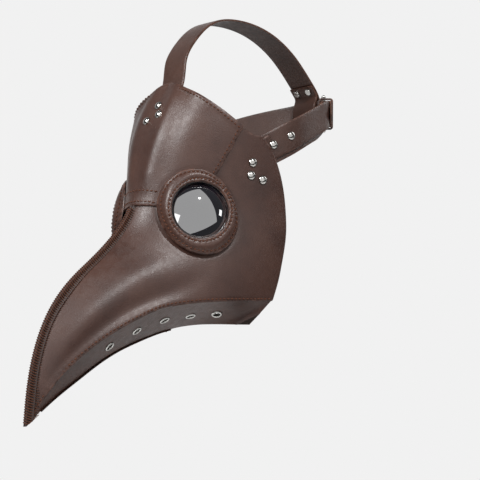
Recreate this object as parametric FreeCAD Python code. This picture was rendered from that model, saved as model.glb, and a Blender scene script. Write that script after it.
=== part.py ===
import FreeCAD, Part
import math
import os

# A beaked mask of sewn leather with two goggle eyes, held by straps round a head.
# Millimetres. +Z is up, the beak points to -Y, +X is the wearer's left side.
# The origin is the centre of the wearer's head at the height of the side straps.

V = FreeCAD.Vector

# ---------------------------------------------------------------- driving sizes
LEATHER = 1.8            # thickness of every mask panel
STRAP = 2.0              # thickness of the strap leather
PLY_GAP = 0.12           # air left between two leather layers
MID_GAP = 0.08           # half of the gap between left and right halves at X = 0
FIN_THICK = 1.9          # one side's share of the raised centre seam
SEAM_LAP = 6.0           # width of the lower panel tucked behind the side panel

RING_OUTER = 37.6        # eye ring, mean outer radius
RING_INNER = 26.5        # eye ring, radius of the window
RING_RISE = 7.5          # height of the window edge above the panel
RING_GAP = 0.4           # air under the ring's sewn edge
EYE_HOLE = 28.0          # hole in the panels
EYE_AXIS_AZ = 62.0       # the way an eye looks: degrees from straight ahead, outward
EYE_AXIS_EL = 7.0        # and upward
EYE_AT = (46.3, -77.9, -75.6)

LENS_BASE = 2.9          # height of the lens rim's underside above the eye's centre
LENS_RIM = 27.7          # radius of the lens rim
HOLDER_TUBE = 27.3       # the cup behind the lens, outer radius
HOLDER_BORE = 24.5

SIDE_STRAP_WIDTH = 25.0
TOP_STRAP_WIDTH = 30.0
RIVET_CAP = 4.0          # radius of a rivet's domed cap
RIVET_POST = 1.5
RIVET_HOLE = 1.65
EYELET_RIM = 5.0
EYELET_BORE = 3.1
EYELET_TUBE = 3.5

BEHIND_BROW = 2.2        # air between the forehead's underlay and the flat top strap
BEHIND_CHEEK = 0.8       # air between the cheek and the flat side strap
BETWEEN_PLIES = 0.5      # air between the side strap's plies
INNER_PLY_DROP = 4.0     # the side strap's inner ply hangs this much lower
ANCHOR_END = 42.0        # how far back the right-hand strap's second ply runs
TAB_OUTER = -LEATHER - PLY_GAP - 0.1                # strap ends glued behind the cheek
TAB_INNER = TAB_OUTER - STRAP - BEHIND_CHEEK - 0.8
PUNCHED = 2.0            # radius of the free strap's punched holes
PUNCHED_AT = (7.0, 22.0)   # their places from the heel bar

BUCKLE_AT = V(43.0, 83.0, 34.0)      # centre of the buckle's heel bar
BUCKLE_ALONG = V(0.74, -0.65, -0.18)  # from the heel bar towards the left ear
HEEL_BAR = 1.5
ROLLER_AT = 22.0         # heel bar to roller bar
ROLLER_BAR = 1.2
ROLLER_OUTER = 2.4
ROLLER_FIT = 0.05        # radial running clearance of roller and prong

# The face is a stack of level sections. Each row holds the height z, the centre line's
# y, two shaping points (x, y), the half width w with its shaping y, and the rear y.
LEVELS = [
    (-272, -229.5, 9, -214, 18, -185, 30, -150, -95),
    (-215, -222.0, 13, -205, 30, -165, 54, -110, -40),
    (-175, -206.7, 17, -190, 40, -140, 66, -80, -10),
    (-140, -178.5, 20, -163, 44, -118, 72, -58, 2),
    (-110, -145.0, 22, -133, 44, -100, 75, -44, 5),
    (-90, -126.8, 26, -118, 42, -92, 76, -38, 5),
    (-70, -116.0, 30, -111, 42, -88, 76, -36, 5),
    (-40, -109.5, 28, -109.5, 48, -87, 76.5, -38, 6),
    (-8, -101.8, 28, -102.3, 54, -87, 77, -42, 6),
    (18, -90.3, 29, -91, 58, -81, 77, -44, 6),
    (40, -77.0, 30, -78, 60, -73, 76, -46, 6),
    (62, -60.5, 30, -61.5, 58, -61, 73, -46, 6),
]

# Outlines seen from the side, as (y, z) points.
BROW_EDGE = [(-50.5, 4.5), (-44.0, 2.6), (-37.4, -1.3), (-31.5, -3.5), (-25.4, -3.9)]
REAR_EDGE = [(-25.4, -3.9), (-19.0, -9.7), (-8.8, -26.2), (-2.9, -42.2), (2.1, -69.4),
             (2.2, -97.0), (-0.4, -115.5), (-3.7, -133.9), (-8.8, -153.2)]
JAW_SEAM = [(-8.8, -153.2), (-34.7, -154.6), (-55.4, -155.7), (-74.9, -157.0),
            (-102.7, -160.8), (-120.5, -165.4), (-138.2, -174.0), (-155.5, -184.2),
            (-172.3, -196.1), (-188.8, -210.4), (-204.9, -228.0), (-215.9, -243.7),
            (-229.0, -268.0)]
UNDER_BROW = [(-125.0, -57.0), (-99.0, -61.0), (-85.0, -60.0), (-77.0, -46.0),
              (-73.4, -37.8), (-50.5, 4.5)]
BRIDGE_LAP = [(-44.0, 3.6), (-54.0, -17.7), (-65.3, -41.7), (-74.0, -60.0)]
BRIDGE_EDGE = [(-95.0, -71.5), (-107.0, -70.3), (-130.0, -67.0)]
RIDGE_TOP = [(-119.6, -69.5), (-128.7, -84.6), (-144.5, -103.1), (-164.6, -121.7),
             (-186.6, -141.0), (-208.1, -167.8), (-222.7, -199.8), (-230.7, -234.5),
             (-234.4, -271.4)]
# The forehead's upper edge seen from the front, as (x, z) from the middle outward.
HAIRLINE = [(0.0, 48.6), (17.0, 44.1), (32.3, 38.1), (43.7, 32.1), (58.5, 19.5),
            (68.4, 3.0), (72.0, -8.0)]
# The free lower edge from the rear corner to the throat, then the closed centre seam.
LOWER_EDGE = [(58.0, -26.7, -175.2), (43.0, -37.0, -174.5), (25.0, -45.8, -174.0),
              (10.0, -54.0, -174.4), (MID_GAP, -63.0, -176.4), (MID_GAP, -83.6, -181.7),
              (MID_GAP, -107.0, -190.1), (MID_GAP, -129.9, -199.7),
              (MID_GAP, -152.5, -211.9), (MID_GAP, -174.6, -226.4),
              (MID_GAP, -196.3, -241.1), (MID_GAP, -217.6, -257.3),
              (MID_GAP, -226.0, -264.4)]
# Where the small metal parts sit: (y, z) on the cheek, y on the side strap, (x, z) on
# the forehead, and for the vents the share of the way along and across the lower panel.
TEMPLE_RIVETS = [(-33.4, -28.7), (-34.4, -40.5), (-23.1, -43.9)]
STRAP_RIVETS = [-10.5, 6.6]
LOOP_RIVETS_Z = 64.0
FOREHEAD_RIVETS = [(1.3, 25.6), (7.6, 16.2), (-6.6, 11.4)]
VENTS = [(0.166, 0.55), (0.264, 0.54), (0.376, 0.50), (0.492, 0.50), (0.61, 0.53)]

# The straps' centre lines. Side strap: left temple to the buckle. Free strap: mirrored
# to the right, round the back. Top strap: (y, z) over the crown, then folded forward
# under the side strap and up again behind it.
HEAD_LINE = [(77.6, 6.6, -0.4), (76.6, 29.0, 11.0), (71.8, 50.0, 21.0)]
BACK_LINE = [(58.5, 70.0, 29.6), (41.0, 87.0, 35.6), (20.5, 99.3, 39.2), (0.0, 103.2, 40.6)]
CROWN_LINE = [(-70.0, 47.0), (-65.6, 72.0), (-55.2, 89.5), (-42.5, 103.0), (-29.5, 111.5),
              (0.0, 117.0), (36.0, 112.0), (70.0, 94.0), (93.5, 71.0), (105.3, 53.6),
              (106.6, 43.0), (106.6, 30.0)]
LOOP_LINE = [(106.6, 30.0), (105.6, 26.0), (102.4, 23.6), (99.2, 26.0), (98.1, 31.0),
             (98.0, 40.0), (98.6, 50.0)]


# ---------------------------------------------------------------- the face's form
def level(z):
    """The eight section values at height z, by a smooth cubic through LEVELS."""
    last = len(LEVELS) - 1
    z = max(LEVELS[0][0], min(LEVELS[last][0], z))
    k = max(i for i in range(last) if LEVELS[i][0] <= z)
    low, high = LEVELS[k], LEVELS[k + 1]
    before, after = LEVELS[max(k - 1, 0)], LEVELS[min(k + 2, last)]
    span = high[0] - low[0]
    s = (z - low[0]) / span
    values = []
    for c in range(1, 9):
        slope_low = (high[c] - before[c]) / (high[0] - before[0]) * span
        slope_high = (after[c] - low[c]) / (after[0] - low[0]) * span
        values.append((2 * s**3 - 3 * s**2 + 1) * low[c] + (s**3 - 2 * s**2 + s) * slope_low
                      + (3 * s**2 - 2 * s**3) * high[c] + (s**3 - s**2) * slope_high)
    return values


def face(t, z):
    """Point on the face: t runs from the centre line (0) to the rear (1)."""
    y0, x1, y1, x2, y2, w, y3, yc = level(z)
    u = 1.0 - t
    b = (u**4, 4 * t * u**3, 6 * t * t * u * u, 4 * t**3 * u, t**4)
    x = b[1] * x1 + b[2] * x2 + b[3] * w + b[4] * w
    y = b[0] * y0 + b[1] * y1 + b[2] * y2 + b[3] * y3 + b[4] * yc
    return V(x, y, z)


def face_normal(t, z):
    """Outward unit normal of the face."""
    along = face(min(t + 0.002, 1.0), z) - face(max(t - 0.002, 0.0), z)
    up = face(t, min(z + 0.5, 62)) - face(t, max(z - 0.5, -272))
    return along.cross(up).normalize()


def face_off(t, z, off):
    """Point at a distance outside (+) or inside (-) the face; negative t is the right side."""
    p = face(abs(t), z) + face_normal(abs(t), z) * off
    return V(-p.x, p.y, p.z) if t < 0 else p


def t_at_y(y, z):
    """The t at which the section at height z reaches y."""
    low, high = 0.0, 1.0
    for _ in range(50):
        mid = (low + high) / 2
        if face(mid, z).y < y:
            low = mid
        else:
            high = mid
    return (low + high) / 2


def t_at_x(x, z):
    """The t at which the section at height z reaches x."""
    low, high = 0.0, 1.0
    for _ in range(50):
        mid = (low + high) / 2
        if face(mid, z).x < x:
            low = mid
        else:
            high = mid
    return (low + high) / 2


# ---------------------------------------------------------------- solid makers
def curve(points, closed=False):
    """A smooth curve through points, with even parameters so that rails match."""
    spline = Part.BSplineCurve()
    count = len(points) + (1 if closed else 0)
    spline.interpolate(Points=points, PeriodicFlag=closed,
                       Parameters=[i / (count - 1.0) for i in range(count)])
    return spline


def ruled(a, b):
    """The straight-ruled face between two matching curves."""
    surface = Part.BSplineSurface()
    surface.buildFromPolesMultsKnots([a.getPoles(), b.getPoles()], [2, 2],
                                     a.getMultiplicities(), [0, 1], a.getKnots(),
                                     False, a.isPeriodic(), 1, a.Degree)
    return surface.toShape()


def as_solid(faces, name):
    """Sew faces into one closed solid."""
    shell = Part.makeShell(faces)
    shell.sewShape()
    if shell.ShapeType == "Compound":
        shell = shell.Shells[0]
    solid = Part.makeSolid(shell)
    if solid.Volume < 0:
        solid.reverse()
    if not (solid.isValid() and solid.isClosed()):
        fixed = solid.copy()
        fixed.fix(0.01, 0.01, 0.01)
        solid = fixed
    if not solid.isClosed():
        raise ValueError("open solid: " + name)
    return solid


def quad(a, b, c, d):
    """The face between four corners, given in order round it."""
    surface = Part.BSplineSurface()
    surface.buildFromPolesMultsKnots([[a, b], [d, c]], [2, 2], [2, 2], [0, 1], [0, 1],
                                     False, False, 1, 1)
    return surface.toShape()


def rail_solid(rails, name, closed=False):
    """A bar whose cross section's corners run along the rails, in order round it."""
    curves = [curve(rail, closed) for rail in rails]
    faces = [ruled(a, b) for a, b in zip(curves, curves[1:] + curves[:1])]
    if not closed:
        for end in (0, -1):
            for i in range(len(rails) // 2 - 1):
                faces.append(quad(rails[i][end], rails[i + 1][end],
                                  rails[-2 - i][end], rails[-1 - i][end]))
    return as_solid(faces, name)


def sheet_solid(outer, inner, name):
    """A curved sheet between two grids of points."""
    surfaces = []
    for grid in (outer, inner):
        surface = Part.BSplineSurface()
        surface.interpolate(grid)
        surfaces.append(surface.toShape())
    faces = list(surfaces)
    for a, b in zip(surfaces[0].Edges, surfaces[1].Edges):
        faces.append(Part.makeRuledSurface(a, b))
    return as_solid(faces, name)


def face_sheet(t_from, t_to, z_from, z_to, off_out, off_in, name, columns=22, rows=48):
    """A piece of the face with the given offsets."""
    def grid(off):
        return [[face_off(t_from + (t_to - t_from) * i / (columns - 1.0),
                          z_from + (z_to - z_from) * j / (rows - 1.0), off)
                 for j in range(rows)] for i in range(columns)]
    return sheet_solid(grid(off_out), grid(off_in), name)


def outline(runs, to_3d):
    """A closed wire from runs of points; a run of three or more is one smooth curve."""
    edges = []
    for run in runs:
        points = [to_3d(*p) for p in run]
        if len(points) == 2:
            edges.append(Part.makeLine(points[0], points[1]))
        else:
            spline = Part.BSplineCurve()
            spline.interpolate(points)
            edges.append(spline.toShape())
    return Part.Wire(edges)


def block(wire, direction):
    """A flat outline drawn out into a solid block."""
    solid = Part.Face(wire).extrude(direction)
    if solid.Volume < 0:
        solid.reverse()
    return solid


def side_prism(runs, x_from, x_to):
    """A block across X from a side-view outline."""
    wire = outline(runs, lambda y, z: V(x_from, y, z))
    return block(wire, V(x_to - x_from, 0, 0))


def corners(*points):
    """Straight runs from point to point."""
    return [[a, b] for a, b in zip(points, points[1:])]


def mirrored(shape):
    return shape.mirror(V(0, 0, 0), V(1, 0, 0))


def frame_matrix(origin, x_axis, z_axis):
    """Placement that puts local +Z on z_axis and local +X near x_axis."""
    z = V(z_axis).normalize()
    x = (x_axis - z * x_axis.dot(z)).normalize()
    y = z.cross(x)
    return FreeCAD.Matrix(x.x, y.x, z.x, origin.x, x.y, y.y, z.y, origin.y,
                          x.z, y.z, z.z, origin.z, 0, 0, 0, 1)


def placed(shape, matrix):
    return shape.transformed(matrix)


def turned(profile, matrix):
    """A round part from its (radius, height) outline, set at a frame."""
    points = [V(r, 0, h) for r, h in profile]
    wire = Part.makePolygon(points + [points[0]])
    solid = Part.Face(wire).revolve(V(0, 0, 0), V(0, 0, 1), 360)
    return placed(solid, matrix)


def bore(at, axis, radius, reach=14.0):
    """A cutter for a hole through layers at a point."""
    direction = V(axis).normalize()
    return Part.makeCylinder(radius, 2 * reach, at - direction * reach, direction)


def group(solids):
    return Part.makeCompound(solids)


# ---------------------------------------------------------------- bands (straps)
def smooth(points, count):
    """Evenly spaced points on one smooth curve, with their directions."""
    spline = Part.BSplineCurve()
    spline.interpolate(points)
    edge = spline.toShape()
    result = []
    for i in range(count):
        u = edge.getParameterByLength(edge.Length * i / (count - 1.0))
        result.append((edge.valueAt(u), edge.tangentAt(u)))
    return result


def upright(direction):
    """Outward normal and width direction of a strap that runs round the head."""
    normal = V(direction.y, -direction.x, 0).normalize()
    return normal, normal.cross(direction).normalize()


def band(stations, width, thick, name):
    """A strap from (centre, normal, width direction) stations."""
    rails = [[], [], [], []]
    for centre, normal, across in stations:
        half_w, half_t = across * (width / 2), normal * (thick / 2)
        rails[0].append(centre + half_w + half_t)
        rails[1].append(centre - half_w + half_t)
        rails[2].append(centre - half_w - half_t)
        rails[3].append(centre + half_w - half_t)
    return rail_solid(rails, name)


# ---------------------------------------------------------------- mask panels
def eye_frame():
    az, el = math.radians(EYE_AXIS_AZ), math.radians(EYE_AXIS_EL)
    axis = V(math.cos(el) * math.sin(az), -math.cos(el) * math.cos(az), math.sin(el))
    return frame_matrix(V(*EYE_AT), V(0, 0, 1), axis), axis


def make_side_panel():
    sheet = face_sheet(0.0, 1.0, -272.0, 12.0, 0.0, -LEATHER, "side panel")
    runs = [BROW_EDGE, REAR_EDGE, JAW_SEAM]
    runs += corners(JAW_SEAM[-1], (-250.0, -268.0), (-250.0, -57.0), *UNDER_BROW)
    panel = sheet.common(side_prism(runs, MID_GAP, 120.0))
    ridge_foot = [(level(z)[0] + 1.6, z) for z in (-266, -235, -205, -175, -150, -128,
                                                   -108, -92, -80, -71)]
    fin_runs = [RIDGE_TOP, [RIDGE_TOP[-1], ridge_foot[0]], ridge_foot,
                [ridge_foot[-1], RIDGE_TOP[0]]]
    panel = panel.fuse(side_prism(fin_runs, MID_GAP, FIN_THICK)).removeSplitter()
    _, axis = eye_frame()
    return panel.cut(bore(V(*EYE_AT), axis, EYE_HOLE, 22.0))


def make_forehead_panel():
    sheet = face_sheet(-0.86, 0.86, -76.0, 60.0, PLY_GAP + LEATHER, PLY_GAP,
                       "forehead panel", columns=41, rows=32)
    top = HAIRLINE[::-1] + [(-x, z) for x, z in HAIRLINE[1:]]
    runs = [top] + corners(top[-1], (-90.0, -8.0), (-90.0, -90.0), (90.0, -90.0),
                           (90.0, -8.0), top[0])
    front = block(outline(runs, lambda x, z: V(x, -160, z)), V(0, 200, 0))
    runs = [BRIDGE_LAP] + corners(BRIDGE_LAP[-1], BRIDGE_EDGE[0]) + [BRIDGE_EDGE]
    runs += corners(BRIDGE_EDGE[-1], (-130.0, 70.0), (-20.0, 70.0), (-20.0, 16.0),
                    BRIDGE_LAP[0])
    panel = sheet.common(front).common(side_prism(runs, -100.0, 100.0))
    _, axis = eye_frame()
    for side in (1, -1):
        panel = panel.cut(bore(V(side * EYE_AT[0], EYE_AT[1], EYE_AT[2]),
                               V(side * axis.x, axis.y, axis.z), EYE_HOLE, 22.0))
    return panel


def resample(points, count, share):
    """Evenly spaced points over the first share of a curve's length."""
    spline = Part.BSplineCurve()
    spline.interpolate(points)
    edge = spline.toShape()
    return [edge.valueAt(edge.getParameterByLength(edge.Length * share * i / (count - 1.0)))
            for i in range(count)]


def lower_rails(count=25):
    """The six corner rails of the lower panel and its tucked-in strip."""
    behind = PLY_GAP + LEATHER
    seam_3d = [face(t_at_y(y, z), z) for y, z in JAW_SEAM[:-1]]
    seam = resample(seam_3d, count, 0.97)
    edge = resample([V(*p) for p in LOWER_EDGE], count, 0.97)
    rails = [[] for _ in range(6)]
    for i, (s, e) in enumerate(zip(seam, edge)):
        lap = SEAM_LAP * (1.0 - 0.55 * i / (count - 1.0))
        t, t_up = t_at_y(s.y, s.z), t_at_y(s.y, s.z + lap)
        rails[0].append(face_off(t_up, s.z + lap, -behind))
        top = face_off(t, s.z, -behind)
        rails[1].append(top)
        rails[2].append(e)
        along = (edge[min(i + 1, count - 1)] - edge[max(i - 1, 0)]).normalize()
        inward = (e - top).cross(along).normalize()
        if inward.z < 0:
            inward = inward * -1
        if e.x <= MID_GAP * 1.5:
            slide = V(0, inward.y, inward.z)
            rails[3].append(e + slide * (LEATHER / max(slide.Length, 0.5) ** 2))
        else:
            rails[3].append(e + inward * LEATHER)
        rails[4].append(face_off(t, s.z, -behind - LEATHER))
        rails[5].append(face_off(t_up, s.z + lap, -behind - LEATHER))
    return rails


def vent_frames(rails):
    """A frame on the outer face of the lower panel for each vent."""
    frames = []
    last = len(rails[1]) - 1
    for along, across in VENTS:
        k = along * last
        i, f = int(k), k - int(k)
        top = rails[1][i] * (1 - f) + rails[1][i + 1] * f
        low = rails[2][i] * (1 - f) + rails[2][i + 1] * f
        forward = ((rails[1][i + 1] - rails[1][i]) * (1 - across)
                   + (rails[2][i + 1] - rails[2][i]) * across)
        normal = forward.cross(low - top).normalize()
        if normal.z > 0:
            normal = normal * -1
        frames.append(frame_matrix(top * (1 - across) + low * across, forward, normal))
    return frames


def make_lower_panel(rails, frames):
    panel = rail_solid(rails, "lower panel")
    panel = panel.cut(Part.makeBox(20, 300, 200, V(MID_GAP - 20, -260, -300)))
    for matrix in frames:
        hole = Part.makeCylinder(EYELET_TUBE + 0.1, 12, V(0, 0, -6))
        panel = panel.cut(placed(hole, matrix))
    return panel


# ---------------------------------------------------------------- eyes
def ring_outer(angle):
    """Outer radius of the eye ring, a leaning oval; the angle is counted from the top."""
    return (RING_OUTER - 1.2 * math.cos(angle) + 0.9 * math.sin(angle)
            + 1.2 * math.cos(2 * angle) + 2.4 * math.sin(2 * angle))


def make_eye_ring(matrix, count=36):
    """A raised leather ring whose outer edge follows the face."""
    inverse = matrix.inverse()
    lift = PLY_GAP + LEATHER + RING_GAP
    rails = [[] for _ in range(6)]
    for i in range(count):
        a = 2 * math.pi * i / count
        out = V(math.cos(a), math.sin(a), 0)
        edge = ring_outer(a)
        foot = matrix.multVec(out * edge)
        height = surface_height(foot, matrix, inverse) + lift
        mid_r = RING_INNER + 0.45 * (edge - RING_INNER)
        mid_h = height + 0.72 * (RING_RISE - height)
        profile = [(edge, height), (edge - 0.3, height + LEATHER),
                   (mid_r, mid_h + LEATHER), (RING_INNER, RING_RISE + LEATHER),
                   (RING_INNER, RING_RISE), (mid_r, mid_h)]
        for rail, (r, h) in zip(rails, profile):
            rail.append(matrix.multVec(out * r + V(0, 0, h)))
    return rail_solid(rails, "eye ring", closed=True)


def surface_height(point, matrix, inverse):
    """Height of the face over the ring's plane, found by walking along the eye axis."""
    local = inverse.multVec(point)
    low, high = -20.0, 20.0
    for _ in range(40):
        mid = (low + high) / 2
        p = matrix.multVec(V(local.x, local.y, mid))
        on_face = face(t_at_y(p.y, p.z), p.z)
        if on_face.x > p.x:
            low = mid
        else:
            high = mid
    return (low + high) / 2


def make_lens_holder(matrix):
    """A plastic cup glued in the eye hole that carries the lens."""
    profile = [(HOLDER_BORE, -9.0), (33.0, -9.0), (33.0, -7.6), (HOLDER_TUBE, -7.6),
               (HOLDER_TUBE, LENS_BASE - 0.1), (HOLDER_BORE, LENS_BASE - 0.1)]
    return turned(profile, matrix)


def make_lens(matrix):
    """A domed lens of even thickness with a flat rim."""
    rim, dome, rise, thick = LENS_RIM, 25.5, 7.0, 1.4
    radius = (dome**2 + rise**2) / (2 * rise)
    centre = LENS_BASE + thick + rise - radius
    outer_arc = Part.Arc(V(dome, 0, LENS_BASE + thick),
                         V(radius * math.sin(0.5 * math.asin(dome / radius)), 0,
                           centre + radius * math.cos(0.5 * math.asin(dome / radius))),
                         V(0, 0, centre + radius))
    small = radius - thick
    inner_rim = math.sqrt(small**2 - (LENS_BASE - centre)**2)
    half = 0.5 * math.asin(inner_rim / small)
    inner_arc = Part.Arc(V(0, 0, centre + small),
                         V(small * math.sin(half), 0, centre + small * math.cos(half)),
                         V(inner_rim, 0, LENS_BASE))
    wire = Part.Wire([outer_arc.toShape(),
                      Part.makeLine(V(0, 0, centre + radius), V(0, 0, centre + small)),
                      inner_arc.toShape(),
                      Part.makeLine(V(inner_rim, 0, LENS_BASE), V(rim, 0, LENS_BASE)),
                      Part.makeLine(V(rim, 0, LENS_BASE), V(rim, 0, LENS_BASE + thick)),
                      Part.makeLine(V(rim, 0, LENS_BASE + thick),
                                    V(dome, 0, LENS_BASE + thick))])
    return placed(Part.Face(wire).revolve(V(0, 0, 0), V(0, 0, 1), 360), matrix)


# ---------------------------------------------------------------- rivets and eyelets
def rivet(at, normal, depth):
    """Cap and post of a rivet: the cap sits on the surface, the post's foot is behind."""
    matrix = frame_matrix(at, V(0.1, 0.2, 1), normal)
    cap = [(0.0, 0.15), (RIVET_CAP, 0.15), (RIVET_CAP, 0.75), (RIVET_CAP * 0.86, 1.6),
           (RIVET_CAP * 0.5, 2.25), (0.0, 2.45)]
    foot = -depth - 0.25
    post = [(0.0, 0.12), (RIVET_POST, 0.12), (RIVET_POST, foot), (3.4, foot),
            (3.4, foot - 0.5), (3.0, foot - 0.9), (0.0, foot - 0.9)]
    return turned(cap, matrix), turned(post, matrix)


def rivet_set(places, depth):
    """Caps and posts of several rivets, and the cutters for their holes."""
    caps, posts, cutters = [], [], []
    for at, normal in places:
        cap, post = rivet(at, normal, depth)
        caps.append(cap)
        posts.append(post)
        cutters.append(bore(at, normal, RIVET_HOLE, depth + 3.0))
    return group(caps), group(posts), cutters


def make_eyelet(matrix):
    """Rolled metal rim outside and a tube through the panel."""
    profile = [(EYELET_BORE, -LEATHER - 0.9), (EYELET_TUBE, -LEATHER - 0.9),
               (EYELET_TUBE, 0.6), (EYELET_RIM, 0.6), (EYELET_RIM, 0.8),
               (EYELET_RIM * 0.86, 1.25), (EYELET_BORE + 0.5, 1.25), (EYELET_BORE, 0.9)]
    return turned(profile, matrix)


def make_washer(matrix):
    """Flat washer on the inside of the panel, closed over the eyelet's tube."""
    profile = [(EYELET_TUBE + 0.05, -LEATHER - 0.15), (EYELET_RIM - 0.3, -LEATHER - 0.15),
               (EYELET_RIM - 0.3, -LEATHER - 0.65), (EYELET_TUBE + 0.05, -LEATHER - 0.65)]
    return turned(profile, matrix)


# ---------------------------------------------------------------- strap ends on the cheek
TAB_EDGE = [(-38.0, -23.0), (-41.5, -35.0), (-38.0, -47.0), (-26.0, -51.5), (-15.5, -44.0),
            (-10.0, -31.0)]


def make_cheek_tab(off_out):
    """The strap's widened end, lying behind the cheek panel."""
    sheet = face_sheet(0.70, 0.97, -56.0, 2.0, off_out, off_out - STRAP, "tab",
                       columns=12, rows=16)
    runs = [TAB_EDGE] + corners(TAB_EDGE[-1], (-6.5, -21.0), (-16.5, -1.0), (-24.0, -6.5),
                                TAB_EDGE[0])
    return sheet.common(side_prism(runs, 20.0, 120.0))


def temple_points():
    """First points of the side strap's centre line, behind the cheek's rear edge."""
    off = -(LEATHER + PLY_GAP + STRAP / 2 + BEHIND_CHEEK)
    return [face_off(t_at_y(y, z), z, off) for y, z in ((-27.0, -18.8), (-15.6, -12.6))]


def buckle_axes():
    along = V(BUCKLE_ALONG).normalize()
    normal, across = upright(along * -1)
    if normal.y < 0:
        normal = normal * -1
    return along, normal, across if across.z > 0 else across * -1


def buckle_point(x, n):
    along, normal, _ = buckle_axes()
    return BUCKLE_AT + along * x + normal * n


def band_stations(points, count):
    stations = []
    for at, direction in smooth(points, count):
        normal, across = upright(direction)
        if normal.x * at.x + normal.y * at.y < 0:
            normal = normal * -1
        stations.append((at, normal, across if across.z > 0 else across * -1))
    return stations


def smoothstep(value):
    value = max(0.0, min(1.0, value))
    return value * value * (3 - 2 * value)


def inner_ply(stations, opening):
    """Centre points of the ply behind a strap. It hangs lower and close to the outer ply;
    with an opening (from, to, gap) it rises level and moves away to that gap."""
    points = []
    length = 0.0
    previous = stations[0][0]
    for at, normal, across in stations:
        length += (at - previous).Length
        previous = at
        f, gap = 0.0, STRAP + BETWEEN_PLIES
        if opening:
            f = smoothstep((length - opening[0]) / (opening[1] - opening[0]))
            gap += (opening[2] - gap) * f
        points.append(at - normal * gap - across * (INNER_PLY_DROP * (1 - f)))
    return points


def left_stations():
    """The left strap's outer ply, from the temple to the buckle's heel bar."""
    points = temple_points() + [V(*p) for p in HEAD_LINE]
    points += [buckle_point(x, HEEL_BAR + 0.1 + STRAP / 2) for x in (28, 18, 9, 0)]
    return band_stations(points, 41)


def make_side_strap_left():
    """One strip: out along the head, round the heel bar and back underneath."""
    stations = left_stations()
    length = sum((b[0] - a[0]).Length for a, b in zip(stations, stations[1:]))
    inner = inner_ply(stations, (length - 62.0, length - 26.0,
                                 2 * (HEEL_BAR + 0.1) + STRAP))
    strip = band(stations, SIDE_STRAP_WIDTH, STRAP, "outer ply")
    under = band(band_stations(inner, 41), SIDE_STRAP_WIDTH, STRAP, "inner ply")
    along, _, across = buckle_axes()
    matrix = frame_matrix(BUCKLE_AT, along, across)
    wide = SIDE_STRAP_WIDTH - 0.04
    low = V(0, 0, -wide / 2)
    fold = Part.makeCylinder(HEEL_BAR + 0.07 + STRAP, wide, low)
    fold = fold.cut(Part.makeCylinder(HEEL_BAR + 0.13, wide, low))
    fold = placed(fold.cut(Part.makeBox(20, 20, 60, V(0.3, -10, -30))), matrix)
    slot = placed(Part.makeBox(14, 20, 5.0, V(-9, -10, -2.5)), matrix)
    strip, fold, under = strip.cut(slot), fold.cut(slot), under.cut(slot)
    strip = strip.fuse(make_cheek_tab(TAB_OUTER))
    under = under.fuse(make_cheek_tab(TAB_INNER))
    return strip.fuse(fold).fuse(under)


def right_stations():
    """The right-hand strap, from the temple round the back to its tip in the buckle."""
    under_roller = 0.5 - ROLLER_OUTER - 0.7 - STRAP / 2
    over_fold = HEEL_BAR + 0.1 + STRAP + 0.25 + STRAP / 2
    points = [V(-p.x, p.y, p.z) for p in temple_points()]
    points += [V(-x, y, z) for x, y, z in HEAD_LINE + BACK_LINE]
    points += [buckle_point(x, n) for x, n in (
        (-32, under_roller - 0.6), (-ROLLER_AT, under_roller),
        (-12, 0.5 * (under_roller + over_fold)), (-1, over_fold), (10, over_fold),
        (22, over_fold + 0.2), (34, over_fold + 0.5))]
    return band_stations(points, 91)


def make_side_strap_right():
    """The free strap, with punched holes and a pointed tip."""
    strap = band(right_stations(), SIDE_STRAP_WIDTH, STRAP, "free strap")
    along, _, across = buckle_axes()
    matrix = frame_matrix(BUCKLE_AT, along, across)
    edge = SIDE_STRAP_WIDTH / 2 + 0.01
    tip = Part.makePolygon([V(24, -20, edge), V(34, -20, 0), V(24, -20, -edge),
                            V(50, -20, -30), V(50, -20, 30), V(24, -20, edge)])
    strap = strap.cut(placed(block(tip, V(0, 40, 0)), matrix))
    for x in PUNCHED_AT:
        hole = Part.makeCylinder(PUNCHED, 30, V(x, 15, 0), V(0, -1, 0))
        strap = strap.cut(placed(hole, matrix))
    slot = Part.makeBox(13.0, 30, 3.6, V(-15.5, -15, -1.8))
    return strap.fuse(mirrored(make_cheek_tab(TAB_OUTER))).cut(placed(slot, matrix))


def make_strap_anchor_right():
    """Short second ply behind the right-hand strap's root."""
    root = [s for s in right_stations() if s[0].x < 0 and s[0].y < ANCHOR_END]
    under = band(band_stations(inner_ply(root, None), 24), SIDE_STRAP_WIDTH, STRAP,
                 "anchor ply")
    under = under.cut(mirrored(make_cheek_tab(TAB_OUTER)))
    return under.fuse(mirrored(make_cheek_tab(TAB_INNER)))


# ---------------------------------------------------------------- top strap
def flat_stations(points, count):
    """Stations of a strap in the X = 0 plane, from (y, z) points."""
    stations = []
    for at, direction in smooth([V(0, y, z) for y, z in points], count):
        stations.append((at, direction.cross(V(1, 0, 0)).normalize() * -1, V(1, 0, 0)))
    return stations


def crown_stations():
    """The top strap from behind the forehead over the crown and down at the back."""
    start = []
    for z in (1.0, 12.0, 24.0, 36.0):
        p = face_off(0.0, z, -BEHIND_BROW - STRAP / 2)
        start.append((p.y, p.z))
    return flat_stations(start + CROWN_LINE, 80)


def make_top_strap():
    """One strip; its end passes under the side strap and is riveted to itself above."""
    crown = crown_stations()
    end = [at - normal * (STRAP + BETWEEN_PLIES) for at, normal, _ in crown
           if at.y > 0 and 59.0 < at.z < 70.0]
    loop = LOOP_LINE + [(p.y, p.z) for p in reversed(end)]
    over = band(crown, TOP_STRAP_WIDTH, STRAP, "top strap")
    return over.fuse(band(flat_stations(loop, 48), TOP_STRAP_WIDTH, STRAP, "loop"))


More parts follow.
